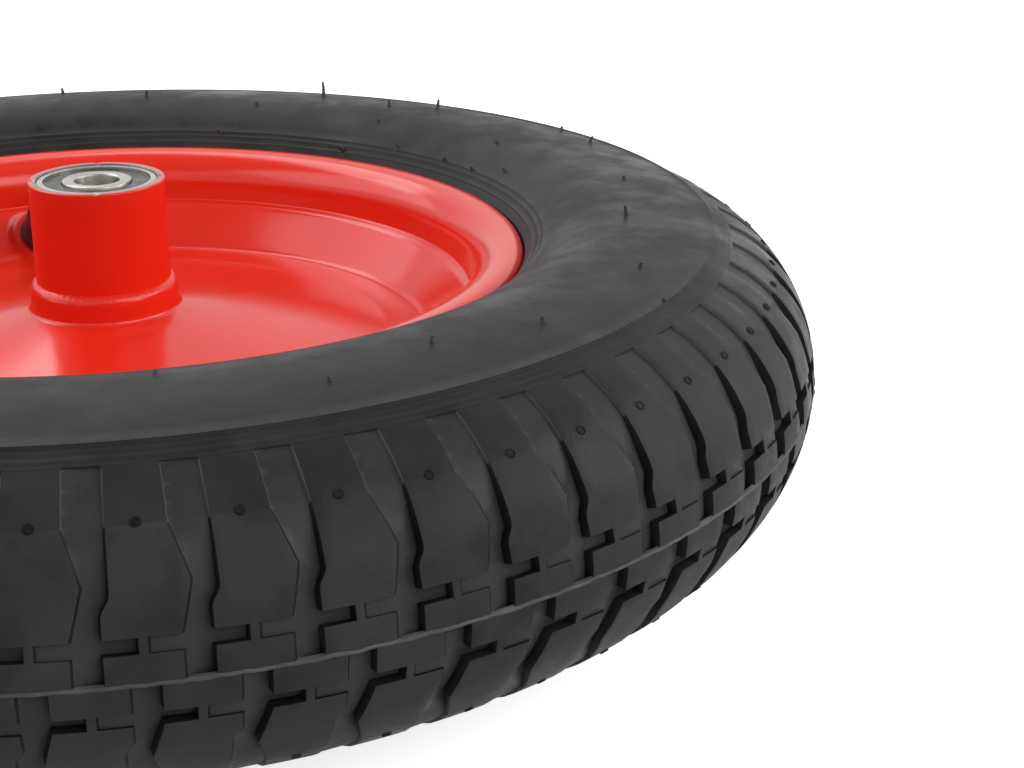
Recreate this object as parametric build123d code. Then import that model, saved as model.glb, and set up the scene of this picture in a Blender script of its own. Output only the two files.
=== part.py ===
from build123d import *
import math
import os

os.makedirs("parts", exist_ok=True)

# A pneumatic barrow wheel: a moulded lug tyre with an inner tube on a rim made of
# two pressed halves, welded to a tube hub that holds a shielded ball bearing at each end.
# Z is the axle line, and z = 0 is the plane in which the two rim halves meet.

# Rim, pressed from sheet
sheet = 1.8                     # thickness of the pressed sheet
bead_seat_radius = 102.6        # tyre side of the bead seat, at the flange
flange_height = 11.9            # from the bead seat out to the edge of the flange
rim_half_width = 29.35          # from the joint plane out to the top of the flange
lip_bend = 1.6                  # bend at the flange's rolled edge, on the tyre side
lip_turn_down = 2.0             # how far the rolled edge turns down
ledge_height = 13.6             # joint plane to the tyre side of the ledge under the bead seat
ledge_width = 3.4               # how far the ledge steps in from the bead seat
ledge_fall = 1.2                # and how far it falls towards the well
seat_taper = 0.6                # the bead seat's radius is less at the ledge by this
well_floor_radius = 89.5        # where the well wall meets the joint plane
joint_band = 12.0               # width of the flat band where the halves meet
disc_height_at_hub = 10.6       # rise of the disc's underside where it meets the hub
collar_height = 7.3             # upturned collar round the hub, above the disc's underside
hub_weld_leg = 2.0              # leg of the fillet weld on top of the collar

# Hub tube
hub_outer_diameter = 36.0
hub_bore_diameter = 30.5        # between the bearing seats
hub_length = 94.7
bearing_recess = 0.35           # the bearing's face below the tube's end
stake_marks = 4                 # punch marks that lock each bearing
stake_mark_width = 1.5
stake_mark_depth = 0.5

# Ball bearing, one at each end of the hub
bearing_bore = 12.0
bearing_outer_diameter = 32.0
bearing_width = 10.0
ball_diameter = 5.95
ball_count = 7
ball_pitch_diameter = 22.0
inner_shoulder_diameter = 18.3
outer_shoulder_diameter = 26.0
shield_seat_diameter = 28.4
shield_sheet = 0.35
shield_inset = 0.45             # shield's outer face below the face of the rings
shield_gap = 0.25               # between the shield and the turning inner ring
race_clearance = 0.03           # between a ball and each race
cage_wall = 0.35                # left between a ball's pocket and the cage's face
cage_clearance = 0.05           # between a ball and its pocket
cage_thickness = 1.7            # cage's radial thickness
ring_chamfer = 0.5

# Tyre
tyre_outer_radius = 193.0
tread_arc_radius = 37.4         # round section of the tread, seen across the tyre
tyre_section_width = 80.6
widest_share = 0.52             # widest place, from the rim's edge to the shoulder band
shoulder_angle = 67.3           # where the lugs end, round the tread's arc from the crown
shoulder_band_drop = 5.4        # plain band beyond the lugs: its radial depth
shoulder_band_rise = 2.6        # and how much it gains in height
sidewall_thickness = 4.0
undertread = 3.6                # rubber under the grooves
bead_toe_height = 15.6          # inner toe of the bead above the joint plane
bead_thickness = 9.0            # radial depth of the bead over its seat
bead_clearance = 0.15           # between the tyre and the rim
crown_bands = 6                 # flat bands across half of the lugs' tops
floor_bands = 4                 # and across half of the grooves' floors

# Tread pattern: lengths round the tyre are measured at the crown
lug_pitch_length = 20.55
lug_depth = 4.2
block_length = 14.5             # centre block, and the lug's foot next to it
lug_heel_length = 17.0          # where the lug's trailing edge reaches furthest
lug_heel_height = 18.3
lug_top_length = 13.75          # trailing edge of the narrow part near the shoulder
lug_top_height = 27.0
lug_step_length = 1.85          # leading edge of the lug steps back by this
lug_step_low = 14.4
lug_step_high = 15.8
pocket_low = 6.1                # the pocket between the lug and its centre block
pocket_high = 9.2
neck_start = 6.5                # the thin neck that joins the lug to its centre block
neck_end = 8.2
tread_start_angle = -92.5       # where one groove lies, from +X

# Inner tube
tube_wall = 1.6
tube_gap = 0.3                  # between the tube and the tyre
tube_well_gap = 1.8             # between the tube and the rim's well

# Valve
valve_angle = 101.5             # position round the wheel, from +X
valve_hole_diameter = 11.5
valve_hole_share = 0.52         # how far up the well wall the hole is
valve_seat_diameter = 16.0      # flat spot pressed round the hole
valve_seat_depth = 0.5
stem_base_diameter = 15.0       # rubber foot bonded to the inner tube
stem_base_height = 3.6
stem_shoulder_diameter = 13.6   # bulge just outside the rim
stem_rubber_length = 22.0       # rubber outside the rim
stem_rubber_end_diameter = 9.6
stem_hole_clearance = 0.15
insert_diameter = 7.7           # metal tube moulded into the rubber
insert_bore = 5.4
stem_air_hole = 3.0
insert_length = 33.0
insert_showing = 10.0           # how far the metal stands out of the rubber
core_diameter = 5.3
core_bore = 3.2
core_length = 12.0
core_inset = 1.2                # core's outer end below the metal tube's mouth
core_web = 1.0                  # thickness of the core's guide web
core_web_depth = 5.8            # the web's outer face below the core's outer end
pin_diameter = 1.3
pin_travel = 1.2
pin_cup_diameter = 4.4
pin_cup_length = 1.4
pin_collar_diameter = 2.8
pin_clearance = 0.05
spring_wire = 0.3
spring_turns = 5
cap_diameter = 9.8
cap_length = 11.5
cap_wall_end = 1.6
cap_clearance = 0.05

# Worked out from the sizes above
flange_radius = bead_seat_radius + flange_height
hub_radius = hub_outer_diameter / 2
bearing_radius = bearing_outer_diameter / 2
seat_depth = bearing_width + bearing_recess
bearing_centre = hub_length / 2 - bearing_recess - bearing_width / 2
ball_radius = ball_diameter / 2
ball_pitch_radius = ball_pitch_diameter / 2
tread_centre_radius = tyre_outer_radius - tread_arc_radius
lug_pitches = round(2 * math.pi * tyre_outer_radius / lug_pitch_length)
pitch_angle = 360 / lug_pitches
pitch_length = 2 * math.pi * tyre_outer_radius / lug_pitches
ledge_radius = bead_seat_radius - ledge_width
flange_inside = rim_half_width - sheet
flange_curl = flange_height - sheet - lip_bend - 0.6
collar_top = disc_height_at_hub + collar_height


def revolved(face):
    """Turn a section drawn in the XZ plane, with X as the radius, once round Z."""
    return revolve(face, Axis.Z, 360)


def section(*points):
    """A face in the XZ plane with straight edges through (radius, height) points."""
    return Plane.XZ * make_face(Polyline(*points, close=True))


def bent_path(corners):
    """A line through (radius, height, bend radius) corners, with an arc at each bend."""
    edges = []
    start = Vector(*corners[0][:2])
    for here, after in zip(corners[1:-1], corners[2:]):
        corner = Vector(*here[:2])
        back = (start - corner).normalized()
        ahead = (Vector(*after[:2]) - corner).normalized()
        half = math.acos(max(-1.0, min(1.0, back.dot(ahead)))) / 2
        setback = here[2] / math.tan(half)
        middle = (back + ahead).normalized()
        reach = here[2] / math.sin(half) - here[2]
        first = corner + back * setback
        last = corner + ahead * setback
        edges.append(Line(start, first))
        edges.append(ThreePointArc(first, corner + middle * reach, last))
        start = last
    edges.append(Line(start, Vector(*corners[-1][:2])))
    return Wire(edges)


def rim_path():
    """The tyre side and hub side of the pressed sheet, from the collar to the flange."""
    flat_start = well_floor_radius - joint_band
    lip_radius = flange_radius - sheet
    return bent_path([
        (hub_radius, collar_top, 0),
        (hub_radius, disc_height_at_hub, sheet + 1.4),
        (flat_start, 0, 14.0),
        (well_floor_radius, 0, 5.0),
        (ledge_radius, ledge_height - ledge_fall, 2.6),
        (bead_seat_radius - seat_taper, ledge_height, sheet + 0.6),
        (bead_seat_radius, flange_inside, flange_curl),
        (lip_radius, flange_inside, lip_bend),
        (lip_radius, flange_inside - lip_turn_down, 0),
    ])


def valve_frame():
    """Place on the well wall's air side where the valve stands, with Z along the stem."""
    wall = Vector(ledge_radius - well_floor_radius, 0, ledge_height - ledge_fall)
    foot = Vector(well_floor_radius, 0, 0) + wall * valve_hole_share
    outward = Vector(-wall.Z, 0, wall.X).normalized()
    seat = Plane(foot + outward * (sheet - valve_seat_depth), x_dir=wall.normalized(), z_dir=outward)
    return Rot(0, 0, valve_angle) * seat.location


def mirrored_copy(shape):
    """The same piece for the other side of the wheel, turned over about the X axis."""
    return Rot(180, 0, 0) * shape


def make_rim_half():
    """One pressed half: collar, dished disc, well wall, ledge, bead seat and flange."""
    outline = offset(rim_path(), amount=sheet, side=Side.LEFT, closed=True)
    return revolved(Plane.XZ * make_face(outline))


def make_valve_seat(rim_half):
    """Press a flat spot into the well wall and punch the valve's hole through it."""
    frame = valve_frame()
    clear = frame * Pos(0, 0, 5) * Cylinder(valve_seat_diameter / 2, 10)
    plate = frame * Pos(0, 0, -sheet / 2) * Cylinder(valve_seat_diameter / 2, sheet)
    plate -= Pos(0, 0, -rim_half_width) * Cylinder(flange_radius, 2 * rim_half_width)
    hole = frame * Cylinder(valve_hole_diameter / 2, 30)
    return rim_half - clear + plate - hole


def make_hub_tube():
    """Tube with a counterbored bearing seat and punched lock marks at each end."""
    half = hub_length / 2
    seat_floor = half - seat_depth
    bore = hub_bore_diameter / 2
    edge = 0.4
    tube = revolved(section(
        (bore, -seat_floor), (bearing_radius, -seat_floor), (bearing_radius, -half),
        (hub_radius - edge, -half), (hub_radius, -half + edge),
        (hub_radius, half - edge), (hub_radius - edge, half),
        (bearing_radius, half), (bearing_radius, seat_floor), (bore, seat_floor),
    ))
    middle_of_wall = (hub_radius + bearing_radius) / 2
    mark = Cone(0.1, stake_mark_width / 2, stake_mark_depth)
    marks = [
        Rot(0, 0, 45 + 360 * i / stake_marks) * Pos(middle_of_wall, 0, half - stake_mark_depth / 2) * mark
        for i in range(stake_marks)
    ]
    return tube - marks - [mirrored_copy(m) for m in marks]


def make_hub_weld():
    """Fillet weld between the top of the collar and the hub tube."""
    leg = hub_weld_leg
    low = Vector(hub_radius + sheet, collar_top)
    high = Vector(hub_radius, collar_top + leg)
    swell = (low + high) / 2 + Vector(0.25, 0.25)
    outline = Wire([
        Line(Vector(hub_radius, collar_top), low),
        ThreePointArc(low, swell, high),
        Line(high, Vector(hub_radius, collar_top)),
    ])
    return revolved(Plane.XZ * make_face(outline))


def groove_in_race(pitch_radius):
    """Ring-shaped room for the balls, a little larger than they are."""
    return Torus(pitch_radius, ball_radius + race_clearance)


def make_outer_ring():
    half = bearing_width / 2
    shoulder = outer_shoulder_diameter / 2
    seat = shield_seat_diameter / 2
    seat_floor = half - shield_inset - shield_sheet
    c = ring_chamfer
    ring = revolved(section(
        (shoulder, -seat_floor), (seat, -seat_floor), (seat, -half), (bearing_radius - c, -half),
        (bearing_radius, -half + c), (bearing_radius, half - c), (bearing_radius - c, half),
        (seat, half), (seat, seat_floor), (shoulder, seat_floor),
    ))
    return ring - groove_in_race(ball_pitch_radius)


def make_inner_ring():
    half = bearing_width / 2
    bore = bearing_bore / 2
    shoulder = inner_shoulder_diameter / 2
    c = ring_chamfer
    ring = revolved(section(
        (bore, -half + c), (bore + c, -half), (shoulder, -half),
        (shoulder, half), (bore + c, half), (bore, half - c),
    ))
    return ring - groove_in_race(ball_pitch_radius)


def make_shield():
    """Thin pressed shield for the bearing's upper face, with a rolled outer edge."""
    outer = shield_seat_diameter / 2
    inner = inner_shoulder_diameter / 2 + shield_gap
    top = bearing_width / 2 - shield_inset
    t = shield_sheet
    step = outer - 1.5
    return revolved(section(
        (inner, top - t), (step, top - t), (outer, top - t), (outer, top + t), (outer - t, top + t),
        (step, top), (inner, top),
    ))


def make_balls():
    ball = Sphere(ball_radius)
    return [
        Rot(0, 0, 360 * i / ball_count) * Pos(ball_pitch_radius, 0, 0) * ball
        for i in range(ball_count)
    ]


def make_cage():
    """Ring with a round pocket for each ball."""
    pocket_radius = ball_radius + cage_clearance
    half = pocket_radius + cage_wall
    inner = ball_pitch_radius - cage_thickness / 2
    outer = ball_pitch_radius + cage_thickness / 2
    ring = revolved(section((inner, -half), (outer, -half), (outer, half), (inner, half)))
    pocket = Rot(0, 90, 0) * Sphere(pocket_radius)
    return ring - [
        Rot(0, 0, 360 * i / ball_count) * Pos(ball_pitch_radius, 0, 0) * pocket
        for i in range(ball_count)
    ]


def arc_point(radius, angle):
    """A point of the tyre's round section: its distance from the axle and its height."""
    turn = math.radians(angle)
    return Vector(tread_centre_radius + radius * math.cos(turn), radius * math.sin(turn))


def sidewall_edge():
    """Where the plain band beyond the lugs ends and the sidewall begins."""
    return arc_point(tread_arc_radius, shoulder_angle) + Vector(-shoulder_band_drop, shoulder_band_rise)


def widest_point(thickness):
    """Where the tyre's section is widest, this far under its outer skin."""
    edge = sidewall_edge()
    radius = flange_radius + widest_share * (edge.X - flange_radius)
    return Vector(radius, tyre_section_width / 2 - thickness)


def cavity_edges(gap):
    """The upper half of the tyre's inside, from the crown to the bead, drawn this far within it."""
    under = tread_arc_radius - lug_depth - undertread - gap
    widest = widest_point(sidewall_thickness + gap)
    shoulder = arc_point(under, shoulder_angle)
    bead = Vector(bead_seat_radius + bead_thickness, bead_toe_height + bead_thickness * 0.45 - gap)
    return [
        ThreePointArc(arc_point(under, 0), arc_point(under, shoulder_angle / 2), shoulder),
        TangentArc(widest, shoulder, tangent=(1, 0)),
        TangentArc(widest, bead, tangent=(-1, 0)),
    ]


def bead_edges():
    """The tyre's outside at the rim, from its bead's toe round the flange to the sidewall's foot."""
    seat = bead_seat_radius + bead_clearance
    curl = flange_curl - bead_clearance
    centre = Vector(bead_seat_radius + flange_curl, flange_inside - flange_curl)
    lip_under = flange_inside - lip_turn_down - bead_clearance
    lip_outside = flange_radius + bead_clearance
    rise = math.acos(max(0.0, (lip_under - centre.Y) / curl)) if lip_under < centre.Y + curl else 0.0
    toe = Vector(seat, bead_toe_height)
    root = Vector(seat, centre.Y)
    over = centre + Vector(-math.sin(rise), math.cos(rise)) * curl
    middle_turn = math.radians(45) + rise / 2
    middle = centre + Vector(-math.sin(middle_turn), math.cos(middle_turn)) * curl
    return [
        Line(toe, root),
        ThreePointArc(root, middle, over),
        Line(over, Vector(lip_outside, over.Y)),
        Line(Vector(lip_outside, over.Y), Vector(lip_outside, rim_half_width - lip_bend)),
    ]


def half_of_tyre_section():
    """Upper half of the tyre's section, with the lugs' tops as its outer edge."""
    cavity = cavity_edges(0)
    bead = bead_edges()
    foot = bead[-1] @ 1
    edge = sidewall_edge()
    widest = widest_point(0)
    tops = [
        arc_point(tread_arc_radius, shoulder_angle * i / crown_bands)
        for i in range(crown_bands + 1)
    ]
    outline = cavity + bead + [
        Line(cavity[-1] @ 1, bead[0] @ 0),
        TangentArc(widest, foot, tangent=(-1, 0)),
        TangentArc(widest, edge, tangent=(1, 0)),
        Polyline(edge, *reversed(tops), cavity[0] @ 0),
    ]
    return Plane.XZ * make_face(outline)


def angle_round(length):
    """The angle that a length measured round the crown takes up, in radians."""
    return length / tyre_outer_radius


def make_groove_cutter():
    """Room between two lugs of the upper side, with the pockets that reach in under both."""
    next_lug = pitch_length
    top = tyre_section_width
    outline = [
        (block_length, 0), (block_length, pocket_low), (neck_end, pocket_low), (neck_end, pocket_high),
        (block_length, pocket_high), (lug_heel_length, lug_heel_height),
        (lug_top_length, lug_top_height), (lug_top_length, top), (next_lug + lug_step_length, top),
        (next_lug + lug_step_length, lug_step_high), (next_lug, lug_step_low),
        (next_lug, pocket_high), (next_lug + neck_start, pocket_high),
        (next_lug + neck_start, pocket_low), (next_lug, pocket_low), (next_lug, 0),
    ]
    middle = (block_length + next_lug) / 2
    points = []
    for length, height in outline:
        reach = min(height, tread_arc_radius * math.sin(math.radians(shoulder_angle)))
        radius = tread_centre_radius + math.sqrt(tread_arc_radius ** 2 - reach ** 2)
        points.append((radius * math.sin(angle_round(length - middle)), height))
    face = Plane.YZ * make_face(Polyline(*points, close=True))
    return extrude(face, tyre_outer_radius * 1.1) & tread_room()


def tread_room():
    """Everything outside the grooves' floor on the upper side, up to the shoulder band's wall."""
    floor_radius = tread_arc_radius - lug_depth
    floor = [arc_point(floor_radius, shoulder_angle * i / floor_bands) for i in range(floor_bands + 1)]
    wall_top = arc_point(tread_arc_radius + 3, shoulder_angle)
    beyond = tyre_outer_radius + 5
    return revolved(section(
        *[(p.X, p.Y) for p in floor], (wall_top.X, wall_top.Y), (beyond, wall_top.Y), (beyond, 0),
    ))


def make_tyre():
    """Moulded tyre: a turned section with the same groove cut round it on both sides."""
    half = revolved(half_of_tyre_section())
    body = half + mirrored_copy(half)
    upper = make_groove_cutter()
    lower = mirrored_copy(upper)
    cutters = []
    for i in range(lug_pitches):
        turn = tread_start_angle + i * pitch_angle
        cutters.append(Rot(0, 0, turn) * upper)
        cutters.append(Rot(0, 0, turn + pitch_angle / 2) * lower)
    return body - cutters


def tube_outline():
    """The inner tube's outer section, closed across both sides of the middle plane."""
    wall = Vector(ledge_radius - well_floor_radius, ledge_height - ledge_fall)
    away = Vector(wall.Y, -wall.X).normalized() * tube_well_gap
    well_top = Vector(ledge_radius, ledge_height - ledge_fall) + away
    well_low = Vector(well_floor_radius, 0) + away
    slope = (well_top.X - well_low.X) / (well_top.Y - well_low.Y)
    floor = Vector(well_low.X - slope * well_low.Y, 0)
    cavity = cavity_edges(tube_gap)
    upper = cavity + Polyline(cavity[-1] @ 1, well_top, floor).edges()
    lower = [mirror(edge, Plane.XZ) for edge in upper]
    return make_face(upper + lower)


def make_inner_tube():
    """Closed rubber tube that fills the tyre and the rim's well, with a hole at the valve."""
    outline = tube_outline()
    room = offset(outline, amount=-tube_wall, kind=Kind.INTERSECTION)
    tube = revolved(Plane.XZ * outline) - revolved(Plane.XZ * room)
    return tube - valve_frame() * Pos(0, 0, -15) * Cylinder(stem_base_diameter / 2, 30)


def turned(*points):
    """A piece turned about its own Z axis from (radius, height) points."""
    return revolved(section(*points))


def make_valve_stem():
    """Rubber stem: a foot bonded into the tube, a neck through the rim and a tapered body."""
    hole = valve_hole_diameter / 2 - stem_hole_clearance
    bore = insert_diameter / 2
    air = stem_air_hole / 2
    shoulder = stem_shoulder_diameter / 2
    tip = stem_rubber_end_diameter / 2
    foot = stem_base_diameter / 2
    low = -sheet - stem_base_height
    insert_low = stem_rubber_length + insert_showing - insert_length
    return turned(
        (air, low), (foot, low), (foot, -sheet), (hole, -sheet), (hole, 0), (shoulder - 0.7, 0),
        (shoulder, 0.9), (shoulder, 2.6), (shoulder - 0.9, 6.0), (tip + 0.5, stem_rubber_length - 1.5),
        (tip, stem_rubber_length), (bore, stem_rubber_length), (bore, insert_low), (air, insert_low),
    )


def make_valve_insert():
    """Metal tube in the stem, with a bevelled mouth that takes the core and the cap."""
    outer = insert_diameter / 2
    bore = insert_bore / 2
    top = stem_rubber_length + insert_showing
    low = top - insert_length
    return turned(
        (bore, low), (outer, low), (outer, top - 0.5), (outer - 0.5, top), (bore + 0.3, top),
        (bore, top - 0.3),
    )


def core_top():
    return stem_rubber_length + insert_showing - core_inset


def make_valve_core():
    """Screwed-in core: a sleeve with a web that guides the pin and lets the air past."""
    outer = core_diameter / 2
    bore = core_bore / 2
    top = core_top()
    web_top = top - core_web_depth
    low = top - core_length
    guide = pin_diameter / 2 + pin_clearance
    sleeve = turned(
        (bore, low), (outer, low), (outer, top), (bore, top), (bore, web_top), (guide, web_top),
        (guide, web_top - core_web), (bore, web_top - core_web),
    )
    offset_out = (guide + bore) / 2
    slots = [
        Pos(side * offset_out, 0, web_top - core_web / 2) * Box(0.4, core_bore * 0.5, core_web * 3)
        for side in (-1, 1)
    ]
    return sleeve - slots


def spring_ends():
    """Heights between which the valve's spring sits, from the web to the pin's collar."""
    low = core_top() - core_web_depth
    return low, core_top() - 1.2


def make_valve_pin():
    """Pin with a collar for its spring and a cup that closes the core from inside."""
    stem = pin_diameter / 2
    cup = pin_cup_diameter / 2
    collar = pin_collar_diameter / 2
    top = core_top() + 0.3
    collar_low = spring_ends()[1]
    seat = core_top() - core_length
    return turned(
        (0, seat - pin_cup_length), (cup, seat - pin_cup_length), (cup, seat), (stem, seat),
        (stem, collar_low), (collar, collar_low), (collar, collar_low + 0.5), (stem, collar_low + 0.5),
        (stem, top), (0, top),
    )


def make_valve_spring():
    low, high = spring_ends()
    radius = (pin_diameter + pin_collar_diameter) / 4 + 0.1
    height = high - low - spring_wire
    wire_line = Pos(0, 0, low + spring_wire / 2) * Helix(height / spring_turns, height, radius)
    start = Plane(origin=wire_line @ 0, z_dir=wire_line % 0)
    return sweep(start * RegularPolygon(spring_wire / 2, 6), path=wire_line, is_frenet=True)


def make_valve_cap():
    """Screw cap with a closed end and shallow grip flutes."""
    outer = cap_diameter / 2
    bore = insert_diameter / 2 + cap_clearance
    top = stem_rubber_length + insert_showing + 0.2 + cap_wall_end
    low = top - cap_length
    ceiling = top - cap_wall_end
    cap = turned(
        (bore, low), (outer, low), (outer, top - 1.0), (outer - 1.0, top), (0, top), (0, ceiling),
        (bore, ceiling),
    )
    flute = Pos(outer + 0.35, 0, low + cap_length / 2) * Cylinder(0.7, cap_length * 0.7)
    return cap - [Rot(0, 0, 30 * i) * flute for i in range(12)]


def save(name, shape):
    """Write one piece, or a group of equal pieces, under its node's name."""
    if isinstance(shape, list):
        shape = Compound(children=[s.solid() for s in shape])
    export_step(shape, f"parts/{name}.step")


def save_both_ends(name, shape):
    """Write a piece and its copy at the other end of the wheel."""
    save(f"{name}_upper", shape)
    if isinstance(shape, list):
        save(f"{name}_lower", [mirrored_copy(s) for s in shape])
    else:
        save(f"{name}_lower", mirrored_copy(shape))


def save_bearings():
    raise_to_seat = Pos(0, 0, bearing_centre)
    turn_over = Rot(180, 0, 0)
    save_both_ends("outer_ring", raise_to_seat * make_outer_ring())
    save_both_ends("inner_ring", raise_to_seat * make_inner_ring())
    save_both_ends("ball_cage", raise_to_seat * make_cage())
    save_both_ends("balls", [raise_to_seat * ball for ball in make_balls()])
    shield = make_shield()
    save_both_ends("outside_shield", raise_to_seat * shield)
    save_both_ends("inside_shield", raise_to_seat * turn_over * shield)


def save_valve():
    place = valve_frame()
    save("valve_stem", place * make_valve_stem())
    save("valve_insert", place * make_valve_insert())
    save("valve_core", place * make_valve_core())
    save("valve_pin", place * make_valve_pin())
    save("valve_spring", place * make_valve_spring())
    save("valve_cap", place * make_valve_cap())


def save_wheel():
    rim_half = make_rim_half()
    save("tyre", make_tyre())
    save("inner_tube", make_inner_tube())
    save("rim_half_upper", make_valve_seat(rim_half))
    save("rim_half_lower", mirrored_copy(rim_half))
    save("hub_tube", make_hub_tube())
    save_both_ends("hub_weld", make_hub_weld())
    save_bearings()
    save_valve()


save_wheel()
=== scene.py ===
"""Barrow wheel: the looks of its tyre, rim, hub, bearings and valve, and a plain studio."""

import math
import random

import bmesh
import bpy
from mathutils import Matrix, Vector, noise


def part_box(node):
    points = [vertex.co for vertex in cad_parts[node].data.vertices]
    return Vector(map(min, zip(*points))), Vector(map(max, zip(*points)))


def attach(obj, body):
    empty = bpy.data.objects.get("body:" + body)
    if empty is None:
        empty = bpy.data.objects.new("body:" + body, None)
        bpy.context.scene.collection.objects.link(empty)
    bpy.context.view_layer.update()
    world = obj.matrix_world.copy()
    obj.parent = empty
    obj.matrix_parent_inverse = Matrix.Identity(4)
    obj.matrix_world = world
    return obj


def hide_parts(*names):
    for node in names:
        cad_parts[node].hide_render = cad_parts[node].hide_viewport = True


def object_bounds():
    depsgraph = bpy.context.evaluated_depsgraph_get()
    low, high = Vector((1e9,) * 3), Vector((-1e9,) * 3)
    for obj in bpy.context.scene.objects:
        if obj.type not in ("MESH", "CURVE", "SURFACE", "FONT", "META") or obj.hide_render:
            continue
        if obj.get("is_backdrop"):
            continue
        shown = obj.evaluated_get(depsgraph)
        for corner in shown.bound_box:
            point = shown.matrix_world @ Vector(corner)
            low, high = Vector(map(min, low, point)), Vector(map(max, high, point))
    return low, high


bl_info = {
    "name": "Barrow wheel",
    "version": (1, 0, 0),
    "blender": (4, 5, 0),
    "location": "3D View > Sidebar > Wheel",
    "description": "Builds a pneumatic barrow wheel round its construction frame",
    "category": "Add Mesh",
}

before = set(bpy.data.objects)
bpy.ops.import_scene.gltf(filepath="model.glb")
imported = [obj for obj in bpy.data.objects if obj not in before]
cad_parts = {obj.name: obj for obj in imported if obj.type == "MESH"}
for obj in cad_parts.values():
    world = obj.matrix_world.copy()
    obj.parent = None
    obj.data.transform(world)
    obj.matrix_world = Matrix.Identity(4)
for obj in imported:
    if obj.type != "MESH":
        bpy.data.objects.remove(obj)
MM = 0.001


def node_radius(node):
    """Largest distance from the axle line that a turned construction node reaches."""
    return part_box(node)[1].x


def node_top(node):
    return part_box(node)[1].z


def limited(value):
    """A value kept between 0 and 1."""
    return max(0.0, min(1.0, value))


# Kinds of values that the sidebar shows

def length_property(name, description, value):
    return bpy.props.FloatProperty(name=name, description=description, default=value, unit="LENGTH")


def angle_property(name, description, degrees):
    return bpy.props.FloatProperty(
        name=name, description=description, default=math.radians(degrees), subtype="ANGLE")


def share_property(name, description, value):
    return bpy.props.FloatProperty(name=name, description=description, default=value, subtype="FACTOR")


def colour_property(name, description, value):
    return bpy.props.FloatVectorProperty(
        name=name, description=description, default=value, min=0.0, max=1.0, subtype="COLOR")


def lamp_property(name, values):
    return bpy.props.FloatVectorProperty(
        name=name, size=6, default=values,
        description="Azimuth and elevation in degrees, distance, width and height in metres, watts")


# Sizes and colours that a user would change

class TyreSizes(bpy.types.PropertyGroup):
    """Sizes of the moulded tyre and its tread"""
    outer_radius: length_property(
        "Outer radius", "Axle line to the crown of the tread, under the flash",
        node_radius("tyre") - 0.4 * MM)
    half_width: length_property(
        "Half width", "Middle plane to the widest part of the sidewall", node_top("tyre"))
    tread_arc: length_property("Tread arc", "Radius of the tread's round section", 37.4 * MM)
    shoulder_angle: angle_property("Shoulder angle", "Where the lugs end, round the tread's arc", 67.3)
    band_drop: length_property(
        "Shoulder band depth", "Radial depth of the plain band beyond the lugs", 5.4 * MM)
    band_rise: length_property("Shoulder band rise", "Height that the plain band gains", 2.6 * MM)
    widest_share: share_property("Widest place", "From the rim's edge to the shoulder band", 0.52)
    lug_depth: length_property(
        "Lug depth", "Deepest side of each sloping groove floor, near the middle", 2.2 * MM)
    heel_depth: length_property(
        "Heel depth", "Shallow side of each sloping groove floor", 0.5 * MM)
    run_out_depth: length_property(
        "Run-out depth", "Depth of the groove where it starts to run out", 0.8 * MM)
    shoulder_depth: length_property(
        "Shoulder depth", "Height of the lugs over the groove floor at the shoulder", 0.5 * MM)
    wall_lean: length_property(
        "Wall lean", "How far the foot of a groove's wall stands in from its edge", 0.5 * MM)
    lugs: bpy.props.IntProperty(
        name="Lugs", description="Lugs round each side of the tread", default=59)
    start_angle: angle_property("Start angle", "Where one groove lies, from +X", -92.5)
    edge_round: length_property("Edge rounding", "Rounding along the lugs' upper edges", 0.25 * MM)
    skin: length_property("Sidewall thickness", "Rubber thickness of the sidewall", 4.0 * MM)


class RimSizes(bpy.types.PropertyGroup):
    """Bends of the pressed rim and its valve hole"""
    sheet: length_property("Sheet", "Thickness of the pressed sheet", 1.8 * MM)
    bead_seat: length_property("Bead seat", "Radius that the tyre's bead sits on", 102.6 * MM)
    ledge_width: length_property("Ledge width", "Step inwards under the bead seat", 3.4 * MM)
    ledge_height: length_property("Ledge height", "Joint plane to the ledge", 13.6 * MM)
    well_floor: length_property(
        "Well floor", "Radius where the well wall meets the joint plane", 89.5 * MM)
    disc_rise: length_property("Disc rise", "Height of the dished disc at the hub", 10.6 * MM)
    collar: length_property("Collar", "Height of the upturned collar", 7.3 * MM)
    valve_hole: length_property("Valve hole", "Diameter of the punched hole", 11.5 * MM)
    valve_share: share_property("Valve height", "How far up the well wall the hole is", 0.52)
    valve_press: length_property("Valve seat", "Depth of the flat spot round the hole", 0.5 * MM)
    valve_angle: angle_property("Valve angle", "Place of the valve round the wheel", 101.5)
    steps: bpy.props.IntProperty(name="Steps", description="Faces round the rim", default=192)


class HubSizes(bpy.types.PropertyGroup):
    """Sizes inside the hub tube"""
    bearing_seat: length_property("Bearing seat", "Radius of the counterbore", 16.0 * MM)
    bore: length_property("Bore", "Radius between the bearings", 15.25 * MM)
    seat_depth: length_property("Seat depth", "Depth of the counterbore", 10.35 * MM)


class BearingSizes(bpy.types.PropertyGroup):
    """Radii and widths of the ball bearings"""
    width: length_property("Width", "Width of both rings", 10.0 * MM)
    bore: length_property("Bore", "Radius of the axle hole", 6.0 * MM)
    outer_radius: length_property("Outer radius", "Radius of the outer ring", 16.0 * MM)
    inner_shoulder: length_property("Inner shoulder", "Radius of the inner ring's shoulder", 9.15 * MM)
    outer_shoulder: length_property("Outer shoulder", "Radius of the outer ring's shoulder", 13.0 * MM)
    shield_seat: length_property("Shield seat", "Radius of the step that holds a shield", 14.2 * MM)
    shield_inset: length_property("Shield inset", "Shield below the face of the rings", 0.7 * MM)
    chamfer: length_property("Corner", "Rounding of the rings' corners", 0.5 * MM)
    ball_radius: length_property("Ball radius", "Radius of the balls", 2.975 * MM)
    pitch_radius: length_property("Pitch radius", "Radius of the ring of balls", 11.0 * MM)


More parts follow.
